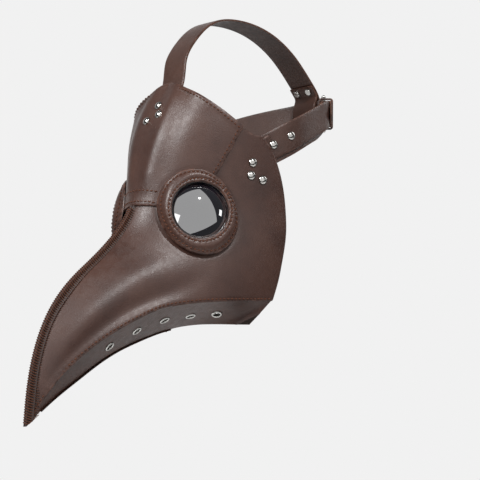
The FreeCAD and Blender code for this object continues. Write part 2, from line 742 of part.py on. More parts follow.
# ---------------------------------------------------------------- buckle
def make_buckle():
    """Frame, prong, roller and keeper in the buckle's own frame:
    local X along the strap to the left ear, local Z across the strap, local Y inward."""
    along, normal, across = buckle_axes()
    matrix = frame_matrix(BUCKLE_AT, along, across)
    out = -1.0 if matrix.multVec(V(0, 1, 0)).sub(BUCKLE_AT).dot(normal) < 0 else 1.0
    half = SIDE_STRAP_WIDTH / 2 + 3.5
    lift = out * 0.5
    rail_r = 1.9
    heel = Part.makeCylinder(HEEL_BAR, 2 * half, V(0, 0, -half))
    bar = Part.makeCylinder(ROLLER_BAR, 2 * half, V(-ROLLER_AT, lift, -half))
    frame = heel.fuse(bar)
    for z in (-half, half):
        a, b = V(0, 0, z), V(-ROLLER_AT, lift, z)
        rail = Part.makeCylinder(rail_r, a.distanceToPoint(b), a, b - a)
        frame = frame.fuse(rail)
        frame = frame.fuse(Part.makeSphere(rail_r, a)).fuse(Part.makeSphere(rail_r, b))
    roller_half = half - rail_r - 0.4
    roller = Part.makeCylinder(ROLLER_OUTER, 2 * roller_half, V(-ROLLER_AT, lift, -roller_half))
    roller = roller.cut(Part.makeCylinder(ROLLER_BAR + ROLLER_FIT, 2 * roller_half,
                                          V(-ROLLER_AT, lift, -roller_half)))
    eye_outer = HEEL_BAR + 1.3
    prong = Part.makeCylinder(eye_outer, 4.0, V(0, 0, -2.0))
    tip_y = lift + out * (ROLLER_OUTER + 1.6)
    root, tip = V(0, out * 1.1, 0), V(-ROLLER_AT - 2.6, tip_y, 0)
    prong = prong.fuse(Part.makeCylinder(1.15, root.distanceToPoint(tip), root, tip - root))
    prong = prong.fuse(Part.makeSphere(1.15, tip))
    prong = prong.cut(Part.makeCylinder(HEEL_BAR + ROLLER_FIT, 4.2, V(0, 0, -2.1)))
    inner_n, outer_n = -(HEEL_BAR + 0.1 + STRAP) - 0.35, HEEL_BAR + 0.1 + 2 * STRAP + 0.6
    wide = SIDE_STRAP_WIDTH / 2 + 0.6
    wall = 1.8
    low_y, high_y = sorted((out * inner_n, out * outer_n))
    hole = Part.makeBox(12, high_y - low_y, 2 * wide, V(8.5, low_y, -wide))
    loop = Part.makeBox(8, high_y - low_y + 2 * wall, 2 * (wide + wall),
                        V(10.5, low_y - wall, -wide - wall))
    loop = loop.makeFillet(1.5, [e for e in loop.Edges
                                 if abs(e.tangentAt(e.FirstParameter).x) > 0.9])
    keeper = loop.cut(hole)
    return [placed(s, matrix) for s in (frame, prong, roller, keeper)]


# ---------------------------------------------------------------- assembly
def make_all():
    nodes = {}
    matrix, _ = eye_frame()
    forehead = make_forehead_panel()
    side = make_side_panel()
    rails = lower_rails()
    frames = vent_frames(rails)
    lower = make_lower_panel(rails, frames)

    temple = []
    for y, z in TEMPLE_RIVETS:
        t = t_at_y(y, z)
        temple.append((face(t, z), face_normal(t, z)))
    strap_places = []
    for y in STRAP_RIVETS:
        at, normal, _ = min(left_stations(), key=lambda s: abs(s[0].y - y))
        strap_places.append((at + normal * (STRAP / 2 + 0.75), normal))
    forehead_places = []
    for x, z in FOREHEAD_RIVETS:
        t = t_at_x(abs(x), z)
        at = face_off(t if x >= 0 else -t, z, PLY_GAP + LEATHER)
        normal = face_normal(t, z)
        forehead_places.append((at, V(normal.x if x >= 0 else -normal.x, normal.y, normal.z)))

    caps, posts, cutters = rivet_set(forehead_places, LEATHER + BEHIND_BROW + STRAP + 0.4)
    nodes["forehead_rivet_caps"], nodes["forehead_rivet_posts"] = caps, posts
    top = make_top_strap()
    for cutter in cutters:
        forehead, top = forehead.cut(cutter), top.cut(cutter)

    caps, posts, temple_cutters = rivet_set(temple, STRAP - TAB_INNER + 0.8)
    nodes["temple_rivet_caps_left"], nodes["temple_rivet_posts_left"] = caps, posts
    left_strap = make_side_strap_left()
    right_strap = make_side_strap_right()
    anchor = make_strap_anchor_right()
    for cutter in temple_cutters:
        side, left_strap = side.cut(cutter), left_strap.cut(cutter)
        right_strap, anchor = right_strap.cut(mirrored(cutter)), anchor.cut(mirrored(cutter))
    caps, posts, strap_cutters = rivet_set(strap_places, 2 * STRAP + BETWEEN_PLIES + 1.5)
    nodes["strap_rivet_caps_left"], nodes["strap_rivet_posts_left"] = caps, posts
    for cutter in strap_cutters:
        left_strap = left_strap.cut(cutter)
        right_strap, anchor = right_strap.cut(mirrored(cutter)), anchor.cut(mirrored(cutter))

    behind = [s for s in crown_stations() if s[0].y > 0]
    at, normal, across = min(behind, key=lambda s: abs(s[0].z - LOOP_RIVETS_Z))
    loop_places = [(at + normal * (STRAP / 2 + 0.05) + across * x, normal) for x in (-8, 8)]
    caps, posts, loop_cutters = rivet_set(loop_places, 2 * STRAP + BETWEEN_PLIES + 0.3)
    nodes["loop_rivet_caps"], nodes["loop_rivet_posts"] = caps, posts
    for cutter in loop_cutters:
        top = top.cut(cutter)

    ring = make_eye_ring(matrix)
    nodes["forehead_panel"] = forehead
    nodes["top_strap"] = top
    for name, shape in (("side_panel", side), ("lower_panel", lower), ("eye_ring", ring),
                        ("lens_holder", make_lens_holder(matrix)),
                        ("eye_lens", make_lens(matrix)),
                        ("vent_eyelets", group([make_eyelet(m) for m in frames])),
                        ("vent_washers", group([make_washer(m) for m in frames]))):
        nodes[name + "_left"] = shape
        nodes[name + "_right"] = mirrored(shape)
    for name in ("temple_rivet_caps", "temple_rivet_posts", "strap_rivet_caps",
                 "strap_rivet_posts"):
        nodes[name + "_right"] = mirrored(nodes[name + "_left"])
    nodes["side_strap_left"] = left_strap
    nodes["side_strap_right"] = right_strap
    nodes["strap_anchor_right"] = anchor
    frame, prong, roller, keeper = make_buckle()
    nodes["buckle_frame"] = frame
    nodes["buckle_prong"] = prong
    nodes["buckle_roller"] = roller
    nodes["strap_keeper"] = keeper
    return nodes


os.makedirs("parts", exist_ok=True)
for node, shape in make_all().items():
    box = shape.BoundBox
    print("%-28s solids %d valid %s volume %.0f  x %.1f %.1f  y %.1f %.1f  z %.1f %.1f" % (
        node, len(shape.Solids), shape.isValid(), shape.Volume,
        box.XMin, box.XMax, box.YMin, box.YMax, box.ZMin, box.ZMax))
    shape.exportStep("parts/%s.step" % node)
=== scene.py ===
import math

import bpy
import numpy as np
from mathutils import Matrix


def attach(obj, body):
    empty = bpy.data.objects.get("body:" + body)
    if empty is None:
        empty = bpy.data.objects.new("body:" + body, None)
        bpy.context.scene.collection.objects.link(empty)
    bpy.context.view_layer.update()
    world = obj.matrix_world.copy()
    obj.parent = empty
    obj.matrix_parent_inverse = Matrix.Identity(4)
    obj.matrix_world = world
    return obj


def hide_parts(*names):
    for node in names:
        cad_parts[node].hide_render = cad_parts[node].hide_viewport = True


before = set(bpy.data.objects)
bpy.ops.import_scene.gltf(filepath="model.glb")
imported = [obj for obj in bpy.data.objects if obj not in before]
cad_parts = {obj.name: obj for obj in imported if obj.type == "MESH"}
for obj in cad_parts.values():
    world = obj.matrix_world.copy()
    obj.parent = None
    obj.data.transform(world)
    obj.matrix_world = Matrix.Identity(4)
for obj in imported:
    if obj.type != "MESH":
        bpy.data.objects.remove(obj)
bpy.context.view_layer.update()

# A beaked leather mask. Shapes are worked out in millimetres in the part's own frame:
# +Z up, beak to -Y, +X the wearer's left. They become metres when a mesh is made.

# -------- sizes shared with the part
LEATHER, STRAP, PLY_GAP = 1.8, 2.0, 0.12
RING_OUTER, RING_INNER, RING_RISE, RING_GAP = 37.6, 26.5, 7.5, 0.4
EYE_HOLE = 28.0
EYE_AZ, EYE_EL = math.radians(62), math.radians(7)
EYE_AT = np.array((46.3, -77.9, -75.6))
LENS_BASE, LENS_RIM = 2.9, 27.7
SIDE_STRAP_WIDTH, TOP_STRAP_WIDTH = 25.0, 30.0
EYELET_BORE, EYELET_TUBE = 3.1, 3.5
BEHIND_BROW, BEHIND_CHEEK, BETWEEN_PLIES, PLY_DROP = 2.2, 0.8, 0.5, 4.0
ANCHOR_END = 42.0
TAB_OUTER = -LEATHER - PLY_GAP - 0.1
TAB_INNER = TAB_OUTER - STRAP - BEHIND_CHEEK - 0.8
BUCKLE_AT = np.array((43.0, 83.0, 34.0))
BUCKLE_ALONG = np.array((0.74, -0.65, -0.18))
HEEL_BAR, ROLLER_AT, ROLLER_OUTER = 1.5, 22.0, 2.4

LEVELS = np.array([
    (-272, -229.5, 9, -214, 18, -185, 30, -150, -95),
    (-215, -222, 13, -205, 30, -165, 54, -110, -40),
    (-175, -206.7, 17, -190, 40, -140, 66, -80, -10),
    (-140, -178.5, 20, -163, 44, -118, 72, -58, 2),
    (-110, -145, 22, -133, 44, -100, 75, -44, 5),
    (-90, -126.8, 26, -118, 42, -92, 76, -38, 5),
    (-70, -116, 30, -111, 42, -88, 76, -36, 5),
    (-40, -109.5, 28, -109.5, 48, -87, 76.5, -38, 6),
    (-8, -101.8, 28, -102.3, 54, -87, 77, -42, 6),
    (18, -90.3, 29, -91, 58, -81, 77, -44, 6),
    (40, -77, 30, -78, 60, -73, 76, -46, 6),
    (62, -60.5, 30, -61.5, 58, -61, 73, -46, 6)], float)
BROW_EDGE = [(-50.5, 4.5), (-44, 2.6), (-37.4, -1.3), (-31.5, -3.5), (-25.4, -3.9)]
REAR_EDGE = [(-25.4, -3.9), (-19, -9.7), (-8.8, -26.2), (-2.9, -42.2), (2.1, -69.4),
             (2.2, -97), (-0.4, -115.5), (-3.7, -133.9), (-8.8, -153.2)]
JAW_SEAM = [(-8.8, -153.2), (-34.7, -154.6), (-55.4, -155.7), (-74.9, -157),
            (-102.7, -160.8), (-120.5, -165.4), (-138.2, -174), (-155.5, -184.2),
            (-172.3, -196.1), (-188.8, -210.4), (-204.9, -228), (-215.9, -243.7),
            (-229, -268)]
UNDER_BROW = [(-125, -57), (-99, -61), (-85, -60), (-77, -46),
              (-73.4, -37.8), (-50.5, 4.5)]
BRIDGE_LAP = [(-44, 3.6), (-54, -17.7), (-65.3, -41.7), (-74, -60)]
BRIDGE_EDGE = [(-95, -71.5), (-107, -70.3), (-130, -67)]
RIDGE_TOP = [(-119.6, -69.5), (-128.7, -84.6), (-144.5, -103.1), (-164.6, -121.7),
             (-186.6, -141), (-208.1, -167.8), (-222.7, -199.8), (-230.7, -234.5),
             (-234.4, -271.4)]
# a soft roll along the side of the beak: its crest and the hollow under it, as (y, z)
CREST = [(-212.8, -234.2), (-206.1, -212.5), (-191.7, -187.8), (-174, -167.9),
         (-155.8, -152.2), (-133.4, -137.1), (-107.2, -126.2), (-85, -122)]
VALLEY = [(-214.4, -245.4), (-203.3, -222.8), (-188.7, -203.4), (-171.9, -186.4),
          (-153, -171.8), (-132.9, -160.5), (-110.7, -150.8), (-87.9, -140),
          (-62.5, -124.4), (-45.2, -112.7)]
HAIRLINE = [(0, 48.6), (17, 44.1), (32.3, 38.1), (43.7, 32.1), (58.5, 19.5),
            (68.4, 3), (72, -8)]
LOWER_EDGE = [(58, -26.7, -175.2), (43, -37, -174.5), (25, -45.8, -174),
              (10, -54, -174.4), (0.08, -63, -176.4), (0.08, -83.6, -181.7),
              (0.08, -107, -190.1), (0.08, -129.9, -199.7), (0.08, -152.5, -211.9),
              (0.08, -174.6, -226.4), (0.08, -196.3, -241.1), (0.08, -217.6, -257.3),
              (0.08, -226, -264.4)]
TEMPLE_RIVETS = [(-33.4, -28.7), (-34.4, -40.5), (-23.1, -43.9)]
STRAP_RIVETS = [-10.5, 6.6]
LOOP_RIVETS_Z = 64.0
FOREHEAD_RIVETS = [(1.3, 25.6), (7.6, 16.2), (-6.6, 11.4)]
VENTS = [(0.166, 0.55), (0.264, 0.54), (0.376, 0.50), (0.492, 0.50), (0.61, 0.53)]
TAB_EDGE = [(-38, -23), (-41.5, -35), (-38, -47), (-26, -51.5), (-15.5, -44),
            (-10, -31)]
TAB_REST = [(-6.5, -21), (-16.5, -1), (-24, -6.5)]
HEAD_LINE = [(77.6, 6.6, -0.4), (76.6, 29, 11), (71.8, 50, 21)]
BACK_LINE = [(58.5, 70, 29.6), (41, 87, 35.6), (20.5, 99.3, 39.2), (0, 103.2, 40.6)]
CROWN_LINE = [(-70, 47), (-65.6, 72), (-55.2, 89.5), (-42.5, 103), (-29.5, 111.5),
              (0, 117), (36, 112), (70, 94), (93.5, 71), (105.3, 53.6),
              (106.6, 43), (106.6, 30)]
LOOP_LINE = [(106.6, 30), (105.6, 26), (102.4, 23.6), (99.2, 26), (98.1, 31),
             (98, 40), (98.6, 50)]


# -------- the face's form
def unit(v):
    return v / np.maximum(np.linalg.norm(v, axis=-1, keepdims=True), 1e-12)


def hump(distance, width):
    return np.exp(-(distance / width)**2)


def clamp(v):
    return np.clip(v, 0, 1)


def level(z):
    """The section values at heights z."""
    last = len(LEVELS) - 1
    z = np.clip(z, LEVELS[0, 0], LEVELS[last, 0])
    k = np.clip(np.searchsorted(LEVELS[:, 0], z, side="right") - 1, 0, last - 1)
    low, high = LEVELS[k], LEVELS[k + 1]
    before, after = LEVELS[np.maximum(k - 1, 0)], LEVELS[np.minimum(k + 2, last)]
    span = high[:, :1] - low[:, :1]
    s = (z[:, None] - low[:, :1]) / span
    a = (high - before)[:, 1:] / (high - before)[:, :1] * span
    b = (after - low)[:, 1:] / (after - low)[:, :1] * span
    return ((2 * s**3 - 3 * s**2 + 1) * low[:, 1:] + (s**3 - 2 * s**2 + s) * a
            + (3 * s**2 - 2 * s**3) * high[:, 1:] + (s**3 - s**2) * b)


def rows_of(*values):
    return (np.ravel(v).astype(float) for v in np.broadcast_arrays(*values))


def bisect(before, low, high):
    """The places between low and high where before(place) turns false."""
    for _ in range(40):
        mid = (low + high) / 2
        less = before(mid)
        low, high = np.where(less, mid, low), np.where(less, high, mid)
    return (low + high) / 2


def face(t, z):
    """Points on the face; negative t is the right side."""
    t, z = rows_of(t, z)
    y0, x1, y1, x2, y2, w, y3, yc = level(z).T
    a = np.abs(t)
    u = 1 - a
    b0, b1, b2, b3, b4 = u**4, 4 * a * u**3, 6 * a * a * u * u, 4 * a**3 * u, a**4
    x = b1 * x1 + b2 * x2 + (b3 + b4) * w
    y = b0 * y0 + b1 * y1 + b2 * y2 + b3 * y3 + b4 * yc
    return np.stack([np.where(t < 0, -x, x), y, z], -1)


def face_normal(t, z):
    t, z = rows_of(t, z)
    a = np.abs(t)
    along = face(np.minimum(a + 0.002, 1), z) - face(np.maximum(a - 0.002, 0), z)
    up = face(a, np.minimum(z + 0.5, 62)) - face(a, np.maximum(z - 0.5, -272))
    n = np.cross(along, up)
    n[:, 0] *= np.where(t < 0, -1, 1)
    return unit(n)


def spot(value, z, axis=1):
    """A point on the left half of the face, and its normal."""
    t = solve_t(value, z, axis)
    return face(t, z)[0], face_normal(t, z)[0]


def solve_t(value, z, axis):
    """t where the section at z reaches this x (axis 0) or y (axis 1)."""
    value, z = rows_of(value, z)
    return bisect(lambda t: face(t, z)[:, axis] < value, z * 0, z * 0 + 1)


def on_face(p):
    """t of points that lie close to the left half of the face."""
    by_y, by_x = solve_t(p[:, 1], p[:, 2], 1), solve_t(np.abs(p[:, 0]), p[:, 2], 0)
    steep = face_normal(by_y, p[:, 2])[:, 0] > 0.6
    return np.where(steep, by_y, by_x)


def swell(p):
    """Slow unevenness of hand-shaped leather, about -1 to 1."""
    x, y, z = p.T
    return (0.5 * np.sin(x / 13 + y / 19 + 1.3) * np.sin(z / 17 - y / 23 + 0.4)
            + 0.3 * np.sin(x / 7.3 - z / 9.1 + 2.2) * np.sin(y / 8.7 + z / 11.9)
            + 0.2 * np.sin(x / 4.1 + z / 5.3 + 0.7) * np.sin(y / 4.7 - x / 6.1 + 1.9))


# -------- curves and outlines
def lengths(curve):
    """Length along a curve at each of its points."""
    return np.concatenate([[0], np.cumsum(np.linalg.norm(np.diff(curve, axis=0), axis=1))])


def sampled(where, at, values):
    """Rows of values, known at places at, interpolated at where."""
    return np.stack([np.interp(where, at, c) for c in values.T], -1)


def resample(points, count, share=1.0):
    at = lengths(points)
    return sampled(np.linspace(0, at[-1] * share, count), at, points)


def spline(points, count, share=1.0):
    """Evenly spaced points on a smooth cubic curve through points."""
    p = np.asarray(points, float)
    u = lengths(p)
    n, h = len(p), np.diff(u)
    lhs, rhs = np.eye(n), np.zeros_like(p)
    for i in range(1, n - 1):
        lhs[i, i - 1:i + 2] = h[i - 1], 2 * (h[i - 1] + h[i]), h[i]
        rhs[i] = 6 * ((p[i + 1] - p[i]) / h[i] - (p[i] - p[i - 1]) / h[i - 1])
    m = np.linalg.solve(lhs, rhs)
    s = np.linspace(0, u[-1], 1500)
    k = np.clip(np.searchsorted(u, s, side="right") - 1, 0, n - 2)
    a, b, w = ((u[k + 1] - s) / h[k])[:, None], ((s - u[k]) / h[k])[:, None], h[k][:, None]
    fine = a * p[k] + b * p[k + 1] + ((a**3 - a) * m[k] + (b**3 - b) * m[k + 1]) * w * w / 6
    return resample(fine, count, share)


def joined(*runs):
    return np.concatenate([np.asarray(r, float) for r in runs])


def inside(points, outline):
    """Signed distance of 2D points from a closed outline, positive inside."""
    best = np.full(len(points), 1e9)
    within = np.zeros(len(points), bool)
    x, y = points.T
    for p, q in zip(outline, np.roll(outline, -1, 0)):
        d = q - p
        if d @ d < 1e-12:
            continue
        w = points - p
        s = clamp((w @ d) / (d @ d))
        best = np.minimum(best, np.hypot(*(w - s[:, None] * d).T))
        if p[1] != q[1]:
            cut = (q[0] - p[0]) * (y - p[1]) / (q[1] - p[1]) + p[0]
            within ^= ((p[1] <= y) != (q[1] <= y)) & (x < cut)
    return np.where(within, best, -best)


def nearest(points, curve):
    """Distance to a 3D curve and the length along it at the nearest point."""
    at = lengths(curve)
    dist, along = np.empty(len(points)), np.empty(len(points))
    for i in range(0, len(points), 4000):
        d = np.linalg.norm(points[i:i + 4000, None] - curve[None], axis=2)
        k = d.argmin(1)
        dist[i:i + 4000], along[i:i + 4000] = d[np.arange(len(k)), k], at[k]
    return dist, along


def tangents(curve):
    return unit(np.gradient(curve, axis=0))


def frame_axes(z_axis, x_near):
    z = unit(np.asarray(z_axis, float))
    x = unit(x_near - z * (np.asarray(x_near) @ z))
    return x, np.cross(z, x), z


EYE_X, EYE_Y, EYE_Z = frame_axes(
    (math.cos(EYE_EL) * math.sin(EYE_AZ), -math.cos(EYE_EL) * math.cos(EYE_AZ),
     math.sin(EYE_EL)), np.array((0, 0, 1.0)))


def eye_point(r, a, h):
    """Point at radius r, angle a and height h over the left eye's centre."""
    r, a, h = np.broadcast_arrays(r, a, h)
    return (EYE_AT + EYE_X * (r * np.cos(a))[..., None] + EYE_Y * (r * np.sin(a))[..., None]
            + EYE_Z * h[..., None])


def on_left(p):
    """Points of the right half brought over to the left."""
    return p * np.where(p[:, :1] < 0, (-1, 1, 1), (1, 1, 1))


def eye_radius(p):
    """Distance from the nearer eye's axis."""
    q = on_left(p) - EYE_AT
    return np.linalg.norm(q - (q @ EYE_Z)[:, None] * EYE_Z, axis=1)


def ring_outer(a):
    """Outer radius of the eye ring, a leaning oval."""
    return (RING_OUTER - 1.2 * np.cos(a) + 0.9 * np.sin(a)
            + 1.2 * np.cos(2 * a) + 2.4 * np.sin(2 * a))


def ring_distance(p):
    """Distance outside the nearer eye ring's edge."""
    q = on_left(p) - EYE_AT
    return eye_radius(p) - ring_outer(np.arctan2(q @ EYE_Y, q @ EYE_X))


# -------- mesh building
class Build:
    """Collects vertices and faces of one piece; materials are numbered per face."""

    def __init__(self):
        self.verts, self.faces, self.mats, self.edge = [], [], [], []
        self.count = 0

    def add(self, verts, faces, mat=0, edge=None):
        verts = np.asarray(verts, float).reshape(-1, 3)
        self.verts.append(verts)
        self.edge.append(np.full(len(verts), 9.0) if edge is None else edge)
        self.faces += [[i + self.count for i in f] for f in faces]
        self.mats += [mat] * len(faces)
        self.count += len(verts)
        return self

    def merge(self, other):
        self.faces += [[i + self.count for i in f] for f in other.faces]
        self.verts += other.verts
        self.edge += other.edge
        self.mats += other.mats
        self.count += other.count

    def mirrored(self):
        other = Build()
        other.verts = [v * (-1, 1, 1) for v in self.verts]
        other.faces = turned(self.faces)
        other.mats, other.edge, other.count = self.mats, self.edge, self.count
        return other

    def piece(self, name, materials, slot, body="mask", replaces=()):
        mesh = bpy.data.meshes.new(name)
        verts = np.concatenate(self.verts) * 0.001
        mesh.from_pydata(verts.tolist(), [], self.faces)
        for m in materials:
            mesh.materials.append(m)
        mesh.polygons.foreach_set("material_index", self.mats)
        mesh.polygons.foreach_set("use_smooth", [True] * len(self.faces))
        edge = mesh.attributes.new("edge_mm", "FLOAT", "POINT")
        edge.data.foreach_set("value", np.concatenate(self.edge).astype(np.float32))
        mesh.update()
        obj = bpy.data.objects.new(name, mesh)
        bpy.context.scene.collection.objects.link(obj)
        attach(obj, body)
        if replaces:
            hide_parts(*replaces)

    def pair(self, name, materials, slot, node=None):
        """Makes the left piece and its mirror image."""
        for build, side in ((self, "left"), (self.mirrored(), "right")):
            build.piece(name.replace("left", side), materials, slot,
                        replaces=[node.replace("left", side)] if node else ())


def net(rows, across, around=False, closed=False):
    """Faces of a net of vertices: around joins the ends of each row, closed the last row."""
    return [[i * across + k, i * across + (k + 1) % across,
             (i + 1) % rows * across + (k + 1) % across, (i + 1) % rows * across + k]
            for i in range(rows - (not closed)) for k in range(across - (not around))]


def circle(count):
    return np.linspace(0, 2 * math.pi, count, endpoint=False)


def turned(faces):
    return [f[::-1] for f in faces]


def trimmed(u, v, field):
    """Cuts a parameter grid along field = 0. Gives u, v, field of the kept vertices and faces."""
    f = field(u.ravel(), v.ravel())
    ids = np.arange(u.size).reshape(u.shape)
    quads = np.stack([ids[:-1, :-1], ids[:-1, 1:], ids[1:, 1:], ids[1:, :-1]], -1).reshape(-1, 4)
    keep = f[quads] > 0
    full, part = keep.all(1), keep.any(1) & ~keep.all(1)
    faces = quads[full].tolist()
    us, vs, fs = u.ravel().tolist(), v.ravel().tolist(), f.tolist()
    made = {}
    for quad in quads[part].tolist():
        poly = []
        for i, j in zip(quad, quad[1:] + quad[:1]):
            if fs[i] > 0:
                poly.append(i)
            if (fs[i] > 0) != (fs[j] > 0):
                key = (min(i, j), max(i, j))
                if key not in made:
                    s = fs[i] / (fs[i] - fs[j])
                    made[key] = len(us)
                    us.append(us[i] + (us[j] - us[i]) * s)
                    vs.append(vs[i] + (vs[j] - vs[i]) * s)
                    fs.append(0.0)
                poly.append(made[key])
        if len(poly) > 2:
            faces.append(poly)
    used = np.unique(np.concatenate([np.asarray(p) for p in faces]))
    renumber = np.full(len(us), -1)
    renumber[used] = np.arange(len(used))
    faces = [renumber[p].tolist() for p in faces]
    return (np.asarray(us)[used], np.asarray(vs)[used], np.maximum(np.asarray(fs)[used], 0),
            faces)


def grid(u0, u1, nu, v0, v1, nv):
    return np.meshgrid(np.linspace(u0, u1, nu), np.linspace(v0, v1, nv))


def leather(build, u, v, field, place, thick, relief=None, rounding=0.45):
    """Adds a sheet of leather with a face, a cut edge and a lining side."""
    u, v, f, faces = trimmed(u, v, field)
    base, normal = place(u, v)
    round_off = rounding * np.exp(-f / 0.55)
    raised = relief(base, f) if relief is not None else f * 0
    top = base + normal * (raised - round_off)[:, None]
    low = base - normal * (thick - 0.5 * round_off - np.minimum(raised, 0))[:, None]
    build.add(top, faces, 0, f)
    build.add(low, turned(faces), 2, f)
    seen = {(i, j): True for p in faces for i, j in zip(p, p[1:] + p[:1])}
    seen = [(i, j) for i, j in seen if (j, i) not in seen]
    rim = sorted({i for edge in seen for i in edge})
    order = {i: k for k, i in enumerate(rim)}
    n = len(rim)
    walls = []
    for i, j in seen:
        a, b = order[i], order[j]
        walls += [[b, a, a + n, b + n], [b + n, a + n, a + 2 * n, b + 2 * n]]
    middle = (top[rim] + low[rim]) / 2
    build.add(np.concatenate([top[rim], middle, low[rim]]), walls, 1)


def stitches(build, path, normals, pitch, length, radius, lift, slant, seed, skip=None):
    """Adds a row of thread stitches along a path."""
    at = lengths(path)
    count = max(int(at[-1] / pitch), 1)
    rng = np.random.default_rng(seed)
    where = (np.arange(count) + 0.5) * at[-1] / count + rng.uniform(-0.12, 0.12, count)
    centre, normal, along = (sampled(where, at, c) for c in (path, normals, tangents(path)))
    normal, along = unit(normal), unit(along)
    if skip:
        centre, normal, along = (c[~skip(centre)] for c in (centre, normal, along))
    side = unit(np.cross(normal, along))
    turn = slant + rng.uniform(-0.09, 0.09, len(centre))
    d = along * np.cos(turn)[:, None] + side * np.sin(turn)[:, None]
    across = np.cross(normal, d)
    v = np.linspace(-1, 1, 7)
    size = radius * np.array([0.25, 0.85, 1.05, 1.1, 1.05, 0.85, 0.25])
    ring = circle(6)
    axis = (centre[:, None] + d[:, None] * (v * length / 2)[None, :, None]
            + normal[:, None] * (0.35 * (0.5 - v**2) + lift)[None, :, None])
    rod = (axis[:, :, None]
           + (across[:, None, None] * np.cos(ring)[None, None, :, None]
              + normal[:, None, None] * 0.8 * np.sin(ring)[None, None, :, None])
           * size[None, :, None, None])
    faces = turned(net(7, 6, around=True)) + [[0, 1, 2, 3, 4, 5], [41, 40, 39, 38, 37, 36]]
    for one in rod:
        build.add(one, faces)


def tubes(build, paths, radius, mat=0):
    """Adds thin round threads along given paths, all of the same number of points."""
    for path in paths:
        t = tangents(path)
        near = np.where(np.abs(t[:, :1]) < 0.8, (1.0, 0, 0), (0, 1.0, 0))
        a = unit(np.cross(t, near))
        b = np.cross(t, a)
        ring, n = circle(6), len(path)
        size = radius * np.minimum(1, 1.8 - 3 * np.abs(np.linspace(-0.5, 0.5, n)))
        verts = (path[:, None] + (a[:, None] * np.cos(ring)[None, :, None]
                                  + b[:, None] * np.sin(ring)[None, :, None])
                 * size[:, None, None])
        build.add(verts, net(n, 6, around=True), mat)


def lathe(build, profile, at, axis, segments=40):
    """Adds a round part from its (radius, height) profile, listed from the axis outward."""
    x, y, z = frame_axes(axis, np.array((0.1, 0.2, 1.0)))
    a = circle(segments)
    p = np.asarray(profile, float)
    verts = (np.asarray(at) + (x * np.cos(a)[:, None] + y * np.sin(a)[:, None])[None]
             * p[:, 0][:, None, None] + z * p[:, 1][:, None, None])
    return build.add(verts, turned(net(len(p), segments, around=True)))


# -------- materials
def nodes_of(name):
    material = bpy.data.materials.new(name)
    material.use_nodes = True
    tree = material.node_tree
    return material, tree, tree.nodes["Principled BSDF"]


def link(tree, a, b):
    tree.links.new(a, b)


def settle(node, **values):
    """Sets input sockets by name."""
    for key, value in values.items():
        node.inputs[key.replace("_", " ")].default_value = value


def feed(tree, socket, value):
    """Links a node's output to the socket, or sets the socket's own value."""
    if isinstance(value, bpy.types.NodeSocket):
        link(tree, value, socket)
    else:
        socket.default_value = (*value, 1) if isinstance(value, tuple) else value


def texture(tree, kind, scale, **sockets):
    """The value of a 3D texture in the object's own space."""
    place = next((n for n in tree.nodes if n.type == "TEX_COORD"), None)
    place = place or tree.nodes.new("ShaderNodeTexCoord")
    node = tree.nodes.new("ShaderNodeTex" + kind)
    settle(node, Scale=scale, **sockets)
    link(tree, place.outputs["Object"], node.inputs["Vector"])
    return node.outputs.get("Fac") or node.outputs["Distance"]


def ramp(tree, source, stops):
    node = tree.nodes.new("ShaderNodeValToRGB")
    elements = node.color_ramp.elements
    while len(elements) < len(stops):
        elements.new(0.5)
    for e, (position, colour) in zip(elements, stops):
        e.position = position
        e.color = (*colour, 1) if isinstance(colour, tuple) else (colour,) * 3 + (1,)
    link(tree, source, node.inputs["Fac"])
    return node.outputs["Color"]


def mix(tree, factor, a, b, blend="MIX"):
    node = tree.nodes.new("ShaderNodeMix")
    node.data_type, node.blend_type = "RGBA", blend
    for k, value in ((0, factor), (6, a), (7, b)):
        feed(tree, node.inputs[k], value)
    return node.outputs[2]


def maths(tree, how, a, b):
    node = tree.nodes.new("ShaderNodeMath")
    node.operation = how
    feed(tree, node.inputs[0], a)
    feed(tree, node.inputs[1], b)
    return node.outputs[0]


def bump(tree, shader, height, strength, distance, after=None):
    node = tree.nodes.new("ShaderNodeBump")
    settle(node, Strength=strength, Distance=distance)
    link(tree, height, node.inputs["Height"])
    if after is not None:
        link(tree, after, node.inputs["Normal"])
    link(tree, node.outputs["Normal"], shader.inputs["Normal"])
    return node.outputs["Normal"]


